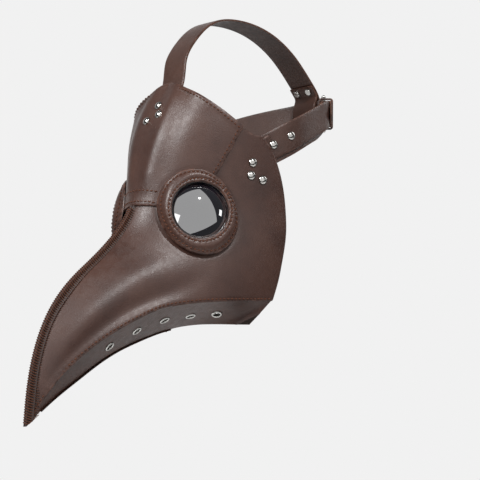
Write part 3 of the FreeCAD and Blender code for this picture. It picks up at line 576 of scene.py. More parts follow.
def leather_material(name, dark, mid, light, rough=0.42):
    """Coated leather: fine pebble grain, cloudy colour, rubbed and darker cut edges."""
    material, tree, shader = nodes_of(name)
    cells = texture(tree, "Voronoi", 1050, Randomness=1.0)
    fine = texture(tree, "Noise", 1900, Detail=3.0, Roughness=0.6)
    creases = texture(tree, "Noise", 190, Detail=4.0, Roughness=0.62, Distortion=0.6)
    clouds = texture(tree, "Noise", 26, Detail=5.0, Roughness=0.55)
    colour = ramp(tree, clouds, [(0.3, dark), (0.5, mid), (0.72, light)])
    speck = ramp(tree, cells, [(0.1, 0.72), (0.55, 1.0)])
    colour = mix(tree, 0.4, colour, speck, "MULTIPLY")
    edge = tree.nodes.new("ShaderNodeAttribute")
    edge.attribute_name = "edge_mm"
    near = ramp(tree, maths(tree, "MULTIPLY", edge.outputs["Fac"], 0.25),
                [(0.0, 1.0), (0.14, 0.7), (0.4, 0.0)])
    rub = ramp(tree, creases, [(0.42, 0.0), (0.62, 1.0)])
    worn = mix(tree, rub, tuple(c * 0.62 for c in dark), tuple(c * 1.9 for c in light))
    colour = mix(tree, maths(tree, "MULTIPLY", near, 0.7), colour, worn)
    link(tree, colour, shader.inputs["Base Color"])
    rough_map = ramp(tree, creases, [(0.3, rough - 0.07), (0.7, rough + 0.1)])
    link(tree, rough_map, shader.inputs["Roughness"])
    first = bump(tree, shader, cells, 0.6, 0.00018)
    second = bump(tree, shader, creases, 0.22, 0.0004, first)
    bump(tree, shader, fine, 0.15, 0.00008, second)
    settle(shader, Specular_IOR_Level=0.33, Coat_Weight=0.08, Coat_Roughness=0.36)
    return material


def plain_material(name, dark, light, rough, scale, bump_scale, strength, metal=0.0,
                   gloss=0.5, ior=1.5):
    """Colour, roughness and relief from noise: thread, cut edges, plastic, metal."""
    material, tree, shader = nodes_of(name)
    cloud = texture(tree, "Noise", scale, Detail=4.0)
    fine = texture(tree, "Noise", bump_scale)
    link(tree, ramp(tree, cloud, [(0.32, dark), (0.7, light)]), shader.inputs["Base Color"])
    link(tree, ramp(tree, cloud, [(0.3, rough * 0.8), (0.7, rough * 1.2)]),
         shader.inputs["Roughness"])
    bump(tree, shader, fine, strength, 0.0001)
    settle(shader, Metallic=metal, Specular_IOR_Level=gloss, IOR=ior)
    return material


def weave_material(name, dark, light):
    """Knitted backing on the inner side of the coated leather."""
    material, tree, shader = nodes_of(name)
    one = texture(tree, "Wave", 420, Distortion=1.2, Detail=1.0)
    two = texture(tree, "Wave", 420, Distortion=1.2, Detail=1.0)
    two.node.bands_direction = "Z"
    weave = maths(tree, "MAXIMUM", one, two)
    fuzz = texture(tree, "Noise", 60, Detail=5.0)
    colour = ramp(tree, fuzz, [(0.3, dark), (0.7, light)])
    colour = mix(tree, 0.35, colour, ramp(tree, weave, [(0.2, 0.55), (0.8, 1.0)]), "MULTIPLY")
    link(tree, colour, shader.inputs["Base Color"])
    settle(shader, Roughness=0.92, Sheen_Weight=0.1, Specular_IOR_Level=0.15)
    bump(tree, shader, weave, 0.5, 0.00015)
    return material


mask_leather = leather_material("mask_leather", (0.028, 0.0115, 0.008), (0.039, 0.0165, 0.0115),
                                (0.051, 0.0235, 0.0165), rough=0.4)
ring_leather = leather_material("ring_leather", (0.03, 0.0125, 0.009), (0.043, 0.019, 0.0135),
                                (0.058, 0.0275, 0.0195), rough=0.38)
strap_leather = leather_material("strap_leather", (0.029, 0.0122, 0.0085), (0.04, 0.018, 0.0125),
                                 (0.053, 0.025, 0.018), rough=0.4)
raw_edge = plain_material("raw_edge", (0.04, 0.019, 0.013), (0.085, 0.042, 0.03), 0.88, 700,
                          2600, 0.5, gloss=0.1)
thread = plain_material("thread", (0.036, 0.0125, 0.0065), (0.088, 0.032, 0.0165), 0.78, 900,
                        3200, 0.3, gloss=0.2)
# painted shade: a darker copy of the thread for the overcast stitches under the beak, which lie in
# shade there
thread_painted_shade = plain_material("thread_painted_shade", (0.012, 0.004, 0.002), (0.035, 0.011, 0.006), 0.85,
                             900, 3200, 0.3, gloss=0.1)
nickel = plain_material("nickel", (0.38, 0.37, 0.35), (0.5, 0.49, 0.47), 0.15, 500, 1500,
                        0.04, metal=1.0)
holder_plastic = plain_material("holder_plastic", (0.012, 0.012, 0.013), (0.03, 0.03, 0.031),
                                0.55, 90, 2500, 0.3)
lining = weave_material("lining", (0.008, 0.005, 0.004), (0.02, 0.013, 0.01))
lens_plastic = plain_material("lens", (0.002, 0.002, 0.004), (0.004, 0.004, 0.007), 0.03, 30,
                              60, 0.01, gloss=1.0, ior=2.1)
# painted shade: a near-black copy of the mask leather for the ridge along the beak, standing in for
# the shade beside and beneath its overcast threads
fin_painted_shade_leather = leather_material("fin_painted_shade_leather", (0.012, 0.005, 0.0035), (0.018, 0.0075, 0.005),
                                (0.026, 0.011, 0.0075), rough=0.6)
SHEET = [mask_leather, raw_edge, lining]
STRAPS = [strap_leather, raw_edge, strap_leather]


# -------- seams on the face
def line_on_face(points, count=240, axis=1):
    """A (y, z) curve, or (x, z) with axis 0, carried onto the left half of the face, and its t."""
    c = spline(points, count)
    t = solve_t(c[:, 0], c[:, 1], axis)
    return face(t, c[:, 1]), t


def shifted(curve, t, distance, away):
    """The curve moved sideways over the face by a distance, towards the point away."""
    n = face_normal(t, curve[:, 2])
    side = unit(np.cross(n, tangents(curve)))
    sign = np.sign(((away - curve) * side).sum(1).mean())
    moved = curve + side * (distance * sign)
    t2 = on_face(moved)
    return face(t2, moved[:, 2]), t2


lap_curve, lap_t = line_on_face(BRIDGE_LAP)
jaw_curve, jaw_t = line_on_face(JAW_SEAM[:-1] + [(-226.5, -263.0)], 500)
hair_curve, hair_t = line_on_face(HAIRLINE[:-1], 260, 0)
bridge_curve, bridge_t = line_on_face([(0, -67.6), (12.1, -68.3), (22, -70.2), (27, -71.4)], 90, 0)

lap_row, lap_row_t = shifted(lap_curve, lap_t, 3.0, (20, -100, 0))
hair_row, hair_row_t = shifted(hair_curve, hair_t, 3.2, (20, -100, -60))
jaw_row, jaw_row_t = shifted(jaw_curve, jaw_t, 2.0, (70, -90, -60))
bridge_row, bridge_row_t = shifted(bridge_curve, bridge_t, 2.4, (15, -105, 0))
bridge_top, bridge_top_t = shifted(bridge_curve, bridge_t, 13.0, (15, -105, 0))
fold, _ = line_on_face([(9, 47), (14.5, 38), (17, 20), (16.6, -5), (14, -30), (12, -46),
                        (11, -56)], 200, 0)


def groove(p, curve, depth, width, ripple=0.0, wave=5.0, reach=3.2):
    """Relief of a stitch row: a shallow groove with puckers across it."""
    d, along = nearest(p, curve)
    pucker = ripple * hump(d, reach) * np.cos(2 * math.pi * along / wave
                                                       + 1.7 * np.sin(along / 11))
    return -depth * hump(d, width) + pucker


def dent(p, at, radius, depth):
    return -depth * hump(np.linalg.norm(p - at, axis=1), radius)


# -------- side panels
side_outline = joined(spline(BROW_EDGE, 30), spline(REAR_EDGE, 90), spline(JAW_SEAM, 140),
                      [(-250, -268), (-250, -57)], UNDER_BROW)
temple_places = [spot(y, z) for y, z in TEMPLE_RIVETS]
crest_curve, _ = line_on_face(CREST, 90)
valley_curve, _ = line_on_face(VALLEY, 90)


def side_field(t, z):
    p = face(t, z)
    f = np.minimum(inside(p[:, 1:], side_outline), (p[:, 0] - 1.7) * 1.0)
    return np.minimum(f, eye_radius(p) - EYE_HOLE)


def side_relief(p, f):
    h = 0.13 * swell(p * 0.6)
    h += groove(p, jaw_row, 0.28, 1.0, 0.12, 5.5)
    ring = ring_distance(p)
    h += -0.45 * hump(ring, 2.4)
    for at, _ in temple_places:
        h += dent(p, at, 5.2, 0.45)
    d, _ = nearest(p, crest_curve)
    h += 2.4 * hump(d, 13) * clamp((-85 - p[:, 1]) / 45)
    d, _ = nearest(p, valley_curve)
    seam, _ = nearest(p, jaw_curve)
    return (h - 2.4 * hump(d, 9) * clamp((-68 - p[:, 1]) / 60)
            * (1 - 0.75 * hump(seam, 6)))


side = Build()
leather(side, *grid(0, 1, 126, -270, 12, 218), side_field,
        lambda t, z: (face(t, z), face_normal(t, z)), LEATHER, side_relief)
side.pair("side_panel_left_visual", SHEET, "mask_leather", "side_panel_left")

# -------- forehead panel
half_hair = spline(HAIRLINE, 90)
front_outline = joined(half_hair[::-1], half_hair[1:] * (-1, 1),
                       [(-90, -8), (-90, -90), (90, -90), (90, -8)])
brow_outline = joined(spline(BRIDGE_LAP, 50), spline(BRIDGE_EDGE, 30),
                      [(-130, 70), (-20, 70), (-20, 16)])
forehead_at = []
for x, z in FOREHEAD_RIVETS:
    forehead_at.append([v * (math.copysign(1, x), 1, 1) for v in spot(abs(x), z, 0)])


def brow_field(t, z):
    p = face(t, z)
    f = np.minimum(inside(p[:, [0, 2]], front_outline), inside(p[:, 1:], brow_outline))
    return np.minimum(f, eye_radius(p) - EYE_HOLE)


def brow_place(t, z):
    n = face_normal(t, z)
    n[:, 0] *= np.tanh(np.abs(t) / 0.05)
    n = unit(n)
    return face(t, z) + n * (PLY_GAP + LEATHER), n


def brow_relief(p, f):
    q = on_left(p)
    off = PLY_GAP + LEATHER
    h = 0.15 * swell(p * 0.7)
    h += groove(q, lap_row, 0.3, 1.0, 0.14, 5.2)
    h += groove(q, bridge_row, 0.3, 1.0, 0.1, 5.0) + groove(q, bridge_top, 0.35, 1.1, 0.12, 5.0)
    d, _ = nearest(q, hair_curve)
    h += 0.55 / (1 + np.exp((d - off - 3.0) / 0.35)) * (f < 12)
    h += groove(q, hair_row, 0.4, 1.0, 0.12, 5.4)
    d, _ = nearest(q, fold)
    outboard = q[:, 0] - np.interp(-q[:, 2], -fold[:, 2], fold[:, 0])
    fade = clamp((q[:, 2] + 60) / 20)
    h += (1.5 * hump(d, 7.5) - 0.9 * hump(outboard - 15, 9)) * fade
    ring = ring_distance(p)
    h += -0.4 * hump(ring, 2.4)
    for at, _ in forehead_at:
        h += dent(p, at, 5.5, 0.5)
    return h


brow = Build()
leather(brow, *grid(-0.86, 0.86, 172, -76, 60, 112), brow_field, brow_place, LEATHER,
        brow_relief)
brow.piece("forehead_panel_visual", SHEET, "mask_leather", replaces=["forehead_panel"])


# -------- lower panels
seam_line = resample(line_on_face(JAW_SEAM, 400)[0], 200, 0.985)
seam_line_t = solve_t(seam_line[:, 1], seam_line[:, 2], 1)
edge_line = resample(spline(LOWER_EDGE + [(0.08, -229.5, -267.2)], 500), 200, 0.985)
edge_line[:, 0] = np.maximum(edge_line[:, 0], 0.12)
behind = PLY_GAP + LEATHER
lower_top = seam_line - face_normal(seam_line_t, seam_line[:, 2]) * behind


def lower_base(u, v):
    """v from 0 at the seam to 1 at the lower edge; below 0 it is the tucked strip."""
    top, edge, seam = (sampled(u, np.linspace(0, 1, 200), c)
                       for c in (lower_top, edge_line, seam_line))
    lap = 3.4 * (1 - 0.4 * u)
    z = seam[:, 2] + lap * clamp(-v)
    t = solve_t(seam[:, 1], z, 1)
    strip = face(t, z) - face_normal(t, z) * behind
    return np.where((v < 0)[:, None], strip, top + (edge - top) * clamp(v)[:, None])


def lower_place(u, v):
    e, base = 0.004, lower_base(u, v)
    du = lower_base(np.minimum(u + e, 1), v) - lower_base(np.maximum(u - e, 0), v)
    dv = lower_base(u, np.minimum(v + e, 1)) - lower_base(u, np.maximum(v - e, -1))
    n = unit(np.cross(dv, du))
    n *= np.where(n[:, 2:] > 0, -1, 1)
    over_seam = face_normal(solve_t(base[:, 1], base[:, 2], 1), base[:, 2])
    n = np.where((v < 0)[:, None], over_seam, n)
    n[:, 0] *= 1 - np.clip(1 - base[:, 0] / 3, 0, 1) * (v > 0)
    return base, unit(n)


vents = []
for along, across in VENTS:
    p, n = lower_place(np.array([along]), np.array([across]))
    vents.append((p[0], n[0]))


def lower_field(u, v):
    f = np.minimum(np.minimum(u, 1 - u) * 250, np.minimum(v + 1, 1 - v) * 40) + 0.001
    p = lower_base(u, v)
    for at, n in vents:
        w = p - at
        f = np.minimum(f, np.linalg.norm(w - (w @ n)[:, None] * n, axis=1) - EYELET_TUBE)
    return f


def lower_relief(p, f):
    h = 0.15 * swell(p)
    for at, n in vents:
        h += dent(p, at, 6.0, 0.25)
    return h


lower = Build()
across_v = np.concatenate([np.linspace(-1, -0.02, 8), np.linspace(0, 1, 40)])
lower_u, lower_v = np.meshgrid(np.linspace(0, 1, 240), across_v)
leather(lower, lower_u, lower_v, lower_field, lower_place, LEATHER, lower_relief)
lower.pair("lower_panel_left_visual", SHEET, "mask_leather", "lower_panel_left")

# -------- ridge along the beak
def square_to(line, axis):
    """Directions in the middle plane, square to a line in it and negative along an axis."""
    d = tangents(line)
    out = unit(np.stack([d[:, 0] * 0, d[:, 2], -d[:, 1]], -1))
    return out * np.where(out[:, [axis]] > 0, -1, 1)


z_ridge = spline([(z, 0) for z in (-69.2, -75, -95, -120, -150, -180, -210, -240, -270.8)], 260)
ridge = resample(face(0.0, z_ridge[:, 0]), 260)
ridge_out = square_to(ridge, 1)
top_line = spline(RIDGE_TOP, 500)
ridge_high = np.array([np.abs((top_line - p[1:]) @ np.array((o[2], -o[1]))).argmin()
                       for p, o in zip(ridge, ridge_out)])
ridge_high = np.clip(((top_line[ridge_high] - ridge[:, 1:]) * ridge_out[:, 1:]).sum(1), 2.5, 6.0)
ridge_high = np.convolve(np.pad(ridge_high, 9, mode="edge"), np.ones(19) / 19, "valid")
ridge_high *= np.clip(np.linspace(0, 60, 260), 0.35, 1)


def fin_section(h):
    """Half of the ridge's cross-section as (x, height), from its foot to the middle."""
    return [(3.6, -1.3), (2.9, -0.35), (2.35, 0.25), (2.02, 0.9), (1.92, 1.8), (1.94, h - 1.9),
            (1.9, h - 1.2), (1.72, h - 0.62), (1.4, h - 0.22), (1.0, h - 0.05), (0.6, h - 0.12),
            (0.3, h - 0.45), (0.14, h - 1.0), (0.1, h - 2.2)]


def tip_floor(y):
    """The sloping lower end of the beak's tip."""
    return -271.2 + 0.84 * (y + 234.4)


fin = Build()
rows = []
for p, o, h in zip(ridge, ridge_out, ridge_high):
    rows.append([p + o * y + (x, 0, 0) for x, y in fin_section(h)])
rows = np.array(rows)
rows[:, 3:11, 0] += 0.06 * np.sin(np.linspace(0, 234, 260))[:, None]
rows[..., 2] = np.maximum(rows[..., 2], tip_floor(rows[..., 1]))
count = rows.shape[1]
fin.add(rows, net(260, count), 0, np.tile([9, 9, 9, 9, 4, 4, 1.2, .6, .3, .1, .1, 0, 0, 0], 260))
fin.add(rows[-1], [list(range(count))], 0)
fin.add(rows[0], [list(range(count))[::-1]], 0)
# the ridge gets the painted-shade leather, darker than the panels to stand in for shade under its
# threads
fin.pair("ridge_left", [fin_painted_shade_leather], "mask_leather")

z_foot, ridge_dir = ridge[:, 2], tangents(ridge)
for _ in range(4):
    foot = face(solve_t(np.full(len(ridge), 3.9), z_foot, 0), z_foot)
    z_foot = z_foot - ((foot - ridge) * ridge_dir).sum(1) * ridge_dir[:, 2]
    z_foot = np.maximum(z_foot, -271.5)
foot += ridge_out * 0.35

over = Build()
ridge_at = lengths(ridge)
paths = []
rng = np.random.default_rng(5)
for s in np.arange(3.0, ridge_at[-1] - 2.5, 2.25):
    path = []
    lean = 2.0 + rng.uniform(-0.2, 0.2)
    for share in np.linspace(-1, 1, 15):
        where = s + lean * share
        p, o, low = (sampled(where, ridge_at, c) for c in (ridge, ridge_out, foot))
        o = unit(o)
        h = np.interp(where, ridge_at, ridge_high)
        angle = min(abs(share) / 0.4, 1) * math.pi / 2
        at = p + o * (h - 0.94 + 1.05 * math.cos(angle)) + (2.11 * math.sin(angle), 0, 0)
        fall = max(abs(share) - 0.4, 0) / 0.6
        corner = p + o * 0.6 + (2.3, 0, 0)
        at = at * (1 - fall)**2 + corner * 2 * fall * (1 - fall) + low * fall**2
        at[2] = max(at[2], tip_floor(at[1]) + 0.5)
        path.append(at * (math.copysign(1, share), 1, 1))
    paths.append(np.array(path))
tubes(over, paths, 0.62)

# threads over the closed seam under the beak
under_row = resample(spline(LOWER_EDGE[4:], 400), 300, 0.95)
under_out, under_at = square_to(under_row, 2), lengths(under_row)
paths = []
for s in np.arange(9.0, under_at[-1] - 2, 1.45):
    path = []
    for share in np.linspace(-1, 1, 11):
        where = s + 1.3 * share
        p, o = sampled(where, under_at, under_row), unit(sampled(where, under_at, under_out))
        path.append(p * (0, 1, 1) + o * (0.3 - 1.3 * abs(share)**2.2) + (2.5 * share, 0, 0))
    paths.append(np.array(path))
# material 1 is the thread's painted-shade copy: these stitches are darkened to stand in for the
# shade under the beak
tubes(over, paths, 0.74, 1)
over.piece("overcast_thread", [thread, thread_painted_shade], "thread")

# -------- running stitches
rows_left = Build()
for row, t, off, seed in ((jaw_row[6:-6], jaw_row_t[6:-6], 0, 11),
                          (lap_row[3:], lap_row_t[3:], 1.92, 12),
                          (bridge_row, bridge_row_t, 1.92, 13),
                          (bridge_top, bridge_top_t, 1.92, 14),
                          (hair_row[2:-4], hair_row_t[2:-4], 2.3, 15)):
    n = face_normal(t, row[:, 2])
    stitches(rows_left, row + n * (off - 0.1), n, 3.9, 2.9, 0.6, 0.2, 0.12, seed,
             skip=lambda c: ring_distance(c) < 1.0)
rows_left.pair("stitching_left", [thread], "thread")

# -------- eye rings and lenses
ANGLES = circle(288)


def behind_face(h):
    p = eye_point(ring_outer(ANGLES), ANGLES, h)
    return face(solve_t(p[:, 1], p[:, 2], 1), p[:, 2])[:, 0] > p[:, 0]


foot_h = bisect(behind_face, ANGLES * 0 - 20, ANGLES * 0 + 20) + PLY_GAP + LEATHER + RING_GAP

ROW_IN, INNER_ROW = 2.7, 29.1
rim = ring_outer(ANGLES)
radii = np.concatenate([rim[:, None] + (-0.05, 0.05, -0.05, -0.4),
                        28.2 + (rim[:, None] - 29.2) * np.linspace(1, 0, 26),
                        rim[:, None] * 0 + (27.6, 27.0, 26.55, 26.3, 26.3, 26.5)], axis=1)
drop = np.concatenate([[-1.75, -1.2, -0.6, -0.2], np.zeros(26), [-0.08, -0.3, -0.75, -1.5, -2.6,
                                                                -4.0]])


def ring_height(r, a, h0):
    """Height of the ring's leather over the eye's plane at radius r."""
    rim_r = ring_outer(a)
    w = clamp((rim_r - r) / (rim_r - RING_INNER))
    rise = 1 - (1 - w)**1.9
    h = h0 + LEATHER + (RING_RISE - h0) * rise
    h += 0.75 * hump(w - 0.5, 0.21)
    outer_row = rim_r - ROW_IN
    h -= 0.42 * hump(r - outer_row, 0.8) + 0.42 * hump(r - INNER_ROW, 0.8)
    low_side = 0.35 + 0.65 * clamp(-np.cos(a))
    pucker = np.cos(a * 41 + 2.0 * np.sin(3 * a)) + 0.5 * np.cos(a * 67 + 1.2)
    near = hump(r - outer_row, 2.6) + 0.8 * hump(r - INNER_ROW, 2.2)
    return h + 0.25 * pucker * near * low_side + 0.08 * np.cos(9 * a + r / 2)


ring = Build()
rr, aa = radii, ANGLES[:, None] + radii * 0
hh = ring_height(np.clip(rr, 26.5, rim[:, None]), aa, foot_h[:, None]) + drop[None, :]
verts = eye_point(rr, aa, hh)
back_r = np.stack([rim * 0 + 26.5, 0.5 * rim + 13.2, rim - 0.3, rim - 0.05], -1)
back_h = np.stack([hh[:, -1], foot_h + 0.72 * (RING_RISE - foot_h) - 0.5, foot_h + 0.02, hh[:, 0]],
                  -1)
verts = np.concatenate([verts, eye_point(back_r, ANGLES[:, None], back_h)], axis=1)
edge = np.concatenate([np.maximum(rim[:, None] - rr - 0.1, 0), rim[:, None] * 0 + (9, 9, 9, 0)], 1)
edge = np.minimum(edge, np.concatenate([np.maximum(rr - 26.6, 0), edge[:, -4:]], 1))
ring.add(verts, turned(net(288, verts.shape[1], closed=True)), 0, edge.ravel())
ring.pair("eye_ring_left_visual", [ring_leather], "ring_leather", "eye_ring_left")

ring_rows = Build()
for r, pitch, seed in ((rim - ROW_IN, 3.9, 21), (rim * 0 + INNER_ROW, 3.5, 22)):
    path = eye_point(r, ANGLES, ring_height(r, ANGLES, foot_h))
    outer = eye_point(r + 0.5, ANGLES, ring_height(r + 0.5, ANGLES, foot_h))
    side_dir = unit(outer - path)
    along_dir = unit(np.roll(path, -1, 0) - np.roll(path, 1, 0))
    normal = unit(np.cross(side_dir, along_dir))
    normal *= np.sign((normal @ EYE_Z).mean())
    normal = unit(normal + EYE_Z * 0.6)
    path, normal = np.concatenate([path, path[:1]]), np.concatenate([normal, normal[:1]])
    stitches(ring_rows, path, normal, pitch, 2.7, 0.66, 0.22, 0.16, seed)
ring_rows.pair("ring_stitching_left", [thread], "thread")

DOME, RISE, THICK = 25.5, 7.0, 1.4
curve_r = (DOME**2 + RISE**2) / (2 * RISE)
dome_c = LENS_BASE + THICK + RISE - curve_r
profile = [(curve_r * math.sin(a), dome_c + curve_r * math.cos(a))
           for a in np.linspace(0, math.asin(DOME / curve_r), 28)]
profile += [(26.2, LENS_BASE + THICK + 0.02), (LENS_RIM - 0.25, LENS_BASE + THICK - 0.05),
            (LENS_RIM, LENS_BASE + THICK - 0.35), (LENS_RIM, LENS_BASE + 0.05)]
small = curve_r - THICK
profile += [(small * math.sin(a), dome_c + small * math.cos(a))
            for a in np.linspace(math.acos((LENS_BASE - dome_c) / small), 0, 24)]
lens = lathe(Build(), profile, EYE_AT, EYE_Z, 96)
lens.pair("eye_lens_left_visual", [lens_plastic], "lens", "eye_lens_left")


# -------- straps
def stations(points, count):
    """Centre, outward normal and width direction along a strap."""
    at = spline(points, count)
    along = tangents(at)
    normal = unit(along[:, [1, 0, 2]] * (1, -1, 0))
    normal *= np.where((normal * at).sum(1) < 0, -1, 1)[:, None]
    across = unit(np.cross(normal, along))
    return at, normal, across * np.where(across[:, 2] > 0, 1, -1)[:, None]


B_ALONG = unit(BUCKLE_ALONG)
B_NORMAL = unit(np.array((-B_ALONG[1], B_ALONG[0], 0)))
B_ACROSS = np.cross(B_ALONG, B_NORMAL)


def buckle_point(x, n):
    return BUCKLE_AT + B_ALONG * x + B_NORMAL * n


def inner_ply(strap, opening=(1e6, 2e6, 0)):
    """The line of a strap's inner ply; opening is where it widens from, to, and how wide."""
    at, normal, across = strap
    length = lengths(at)
    start, end, wide = opening
    f = clamp((length - start) / (end - start))
    f = f * f * (3 - 2 * f)
    gap = STRAP + BETWEEN_PLIES
    gap = gap + (wide - gap) * f
    return at - normal * gap[:, None] - across * (PLY_DROP * (1 - f))[:, None]


def strap_sheet(build, strap, width, holes=(), tip=None, crown=0.18):
    """Adds a strap with rounded edges along its stations; holes are (s, w, radius, stretch)."""
    at, normal, across = strap
    length = lengths(at)
    total, half = length[-1], width / 2

    def field(s, w):
        f = np.minimum(np.minimum(s, total - s), half - np.abs(w)) + 1e-3
        for hs, hw, radius, stretch in holes:
            ds = np.maximum(np.abs(s - hs) - stretch, 0)
            f = np.minimum(f, np.hypot(ds, w - hw) - radius)
        if tip:
            f = np.minimum(f, (total - s) - np.abs(w) * tip / half)
        return f

    def place(s, w):
        centre, n, side = (sampled(s, length, c) for c in (at, normal, across))
        n = unit(n)
        lift = STRAP / 2 - crown * (w / half)**2
        return centre + unit(side) * w[:, None] + n * lift[:, None], n

    leather(build, *grid(0, total, int(total / 1.15) + 2, -half, half, int(width / 0.9) + 1),
            field, place, STRAP - 0.02, lambda p, f: 0.05 * swell(p * 1.6), rounding=0.4)


temple = []
for y, z in ((-27.0, -18.8), (-15.6, -12.6)):
    at, n = spot(y, z)
    temple.append(at - n * (LEATHER + PLY_GAP + STRAP / 2 + BEHIND_CHEEK))

ply = HEEL_BAR + 0.1 + STRAP / 2
left = stations(temple + HEAD_LINE + [buckle_point(x, ply) for x in (28, 18, 9, 0)], 160)
left_length = lengths(left[0])[-1]
left_inner = stations(inner_ply(left, (left_length - 62, left_length - 26, 2 * ply)), 160)
turn = np.linspace(0, math.pi, 15)[1:-1]
bend = np.array([buckle_point(-ply * math.sin(a), ply * math.cos(a)) for a in turn])
bend_n = np.array([B_NORMAL * math.cos(a) - B_ALONG * math.sin(a) for a in turn])
strip = (joined(left[0], bend, left_inner[0][::-1]),
         joined(left[1], bend_n, -left_inner[1][::-1]),
         joined(left[2], np.tile(B_ACROSS, (13, 1)), left_inner[2][::-1]))
left_strap = Build()
heel_s = left_length + ply * math.pi / 2
strap_sheet(left_strap, strip, SIDE_STRAP_WIDTH, holes=[(heel_s, 0, 2.5, 4.5)])

under_roller = 0.5 - ROLLER_OUTER - 0.7 - STRAP / 2
over_fold = HEEL_BAR + 0.1 + STRAP + 0.25 + STRAP / 2
right = [p * (-1, 1, 1) for p in temple]
right += [np.array((-x, y, z)) for x, y, z in HEAD_LINE + BACK_LINE]
right += [buckle_point(x, n) for x, n in (
    (-32, under_roller - 0.6), (-ROLLER_AT, under_roller),
    (-12, 0.5 * (under_roller + over_fold)), (-1, over_fold), (10, over_fold),
    (22, over_fold + 0.2), (34, over_fold + 0.5))]
right = stations(right, 420)


def right_s(x):
    """Length along the free strap at a place beyond the buckle's heel bar."""
    near = np.abs((right[0] - BUCKLE_AT) @ B_ALONG - x)
    near[:200] = 1e9
    return lengths(right[0])[near.argmin()]


right_strap = Build()
strap_sheet(right_strap, right, SIDE_STRAP_WIDTH, tip=10.0,
            holes=[(right_s(7), 0, 2.0, 0), (right_s(22), 0, 2.0, 0),
                   (right_s(-9), 0, 1.8, 4.7)])

root = (right[0][:, 0] < 0) & (right[0][:, 1] < ANCHOR_END)
anchor_line = stations(inner_ply([v[root] for v in right]), 90)
anchor = Build()
strap_sheet(anchor, anchor_line, SIDE_STRAP_WIDTH)

tab_outline = joined(spline(TAB_EDGE, 60), TAB_REST)


def tab(build, off, mirror=False):
    """The strap's widened end, lying behind the cheek."""
    first = Build()
    leather(first, *grid(0.70, 0.97, 44, -56, 2, 54),
            lambda t, z: inside(face(t, z)[:, 1:], tab_outline),
            lambda t, z: (face(t, z) + face_normal(t, z) * off, face_normal(t, z)), STRAP)
    build.merge(first.mirrored() if mirror else first)


tab(left_strap, TAB_OUTER)
tab(left_strap, TAB_INNER)
tab(right_strap, TAB_OUTER, mirror=True)
tab(anchor, TAB_INNER, mirror=True)
for build, name in ((left_strap, "side_strap_left"), (right_strap, "side_strap_right"),
                    (anchor, "strap_anchor_right")):
    build.piece(name + "_visual", STRAPS, "strap_leather", replaces=[name])

start = []
for z in (1.0, 12.0, 24.0, 36.0):
    p = face(0.0, z) - face_normal(0.0, z) * (0, 1, 1) * (BEHIND_BROW + STRAP / 2)
    start.append((p[0, 1], p[0, 2]))


def outward(line, count):
    """Normals of a (y, z) line, away from the head along its first points."""
    n = tangents(line)[:, ::-1] * (-1, 1)
    return n * np.sign((n[:count] * line[:count]).sum())


def middle(v):
    """(y, z) rows as 3D ones in the middle plane."""
    return np.insert(v, 0, 0.0, axis=-1)


crown = spline(start + CROWN_LINE, 320)
crown_n = outward(crown, 320)
picked = (crown[:, 0] > 0) & (crown[:, 1] > 59) & (crown[:, 1] < 70)
end = (crown - crown_n * (STRAP + BETWEEN_PLIES))[picked][::-6]
loop = spline(LOOP_LINE + end.tolist(), 150)
whole = resample(joined(crown, loop[1:]), 620)
top_strap = Build()
strap_sheet(top_strap, (middle(whole), middle(outward(whole, 200)), np.tile((1.0, 0, 0), (620, 1))),
            TOP_STRAP_WIDTH)
top_strap.piece("top_strap_visual", STRAPS, "strap_leather", replaces=["top_strap"])

# keeper: a leather loop, sewn shut on its inner side
wide, wall = SIDE_STRAP_WIDTH / 2 + 0.6, 1.8
inner_n, outer_n = -(HEEL_BAR + 0.1 + STRAP) - 0.35, HEEL_BAR + 0.1 + 2 * STRAP + 0.6
path = []
for cn, cw, a0 in ((outer_n - 1, wide - 1, 0), (outer_n - 1, -wide + 1, 270),
                   (inner_n + 1, -wide + 1, 180), (inner_n + 1, wide - 1, 90)):
    for a in np.radians(np.linspace(a0 + 90, a0, 9)):
        path.append((cn + math.cos(a), cw + math.sin(a), math.cos(a), math.sin(a)))
section = [(-4, 0.3), (-3.7, 0.05), (3.7, 0.05), (4, 0.3), (4, wall - 0.45), (3.7, wall - 0.1),
           (3.0, wall), (0, wall + 0.15), (-3.0, wall), (-3.7, wall - 0.1), (-4, wall - 0.45)]
keeper = Build()
verts = [[buckle_point(14.5 + x, n + kn * h) + B_ACROSS * (w + kw * h) for x, h in section]
         for n, w, kn, kw in path]
keeper.add(verts, net(len(path), len(section), around=True, closed=True), 0,
           np.tile([0.2, 1, 1, 0.2, 0, .3, 1, 4, 1, .3, 0], len(path)))
keeper.piece("strap_keeper_visual", STRAPS, "strap_leather", "keeper", ["strap_keeper"])

# -------- rivets and eyelets
CAP = [(0, 2.45), (0.9, 2.4), (1.8, 2.22), (2.6, 1.88), (3.2, 1.48), (3.65, 1.0), (3.92, 0.62),
       (4.0, 0.35), (3.95, 0.12), (3.7, -0.02), (0, -0.02)]


def caps(places):
    build = Build()
    for at, normal in places:
        lathe(build, CAP, at, normal)
    return build


strap_places = []
for y in STRAP_RIVETS:
    k = np.abs(left[0][:, 1] - y).argmin()
    strap_places.append((left[0][k] + left[1][k] * (STRAP / 2 + 0.12), left[1][k]))
for name, places in (("temple", temple_places), ("strap", strap_places)):
    caps(places).pair(name + "_caps_left", [nickel], "nickel", name + "_rivet_caps_left")
behind_head = crown[:, 0] > 0
k = np.where(behind_head, np.abs(crown[:, 1] - LOOP_RIVETS_Z), 1e9).argmin()
loop_n = middle(crown_n[k])
loop_at = middle(crown[k]) + loop_n * (STRAP / 2 + 0.05)
for name, places in (("forehead", [(at + n * (LEATHER + PLY_GAP), n) for at, n in forehead_at]),
                     ("loop", [(loop_at + (x, 0, 0), loop_n) for x in (-8, 8)])):
    caps(places).piece(name + "_caps", [nickel], "nickel", replaces=[name + "_rivet_caps"])

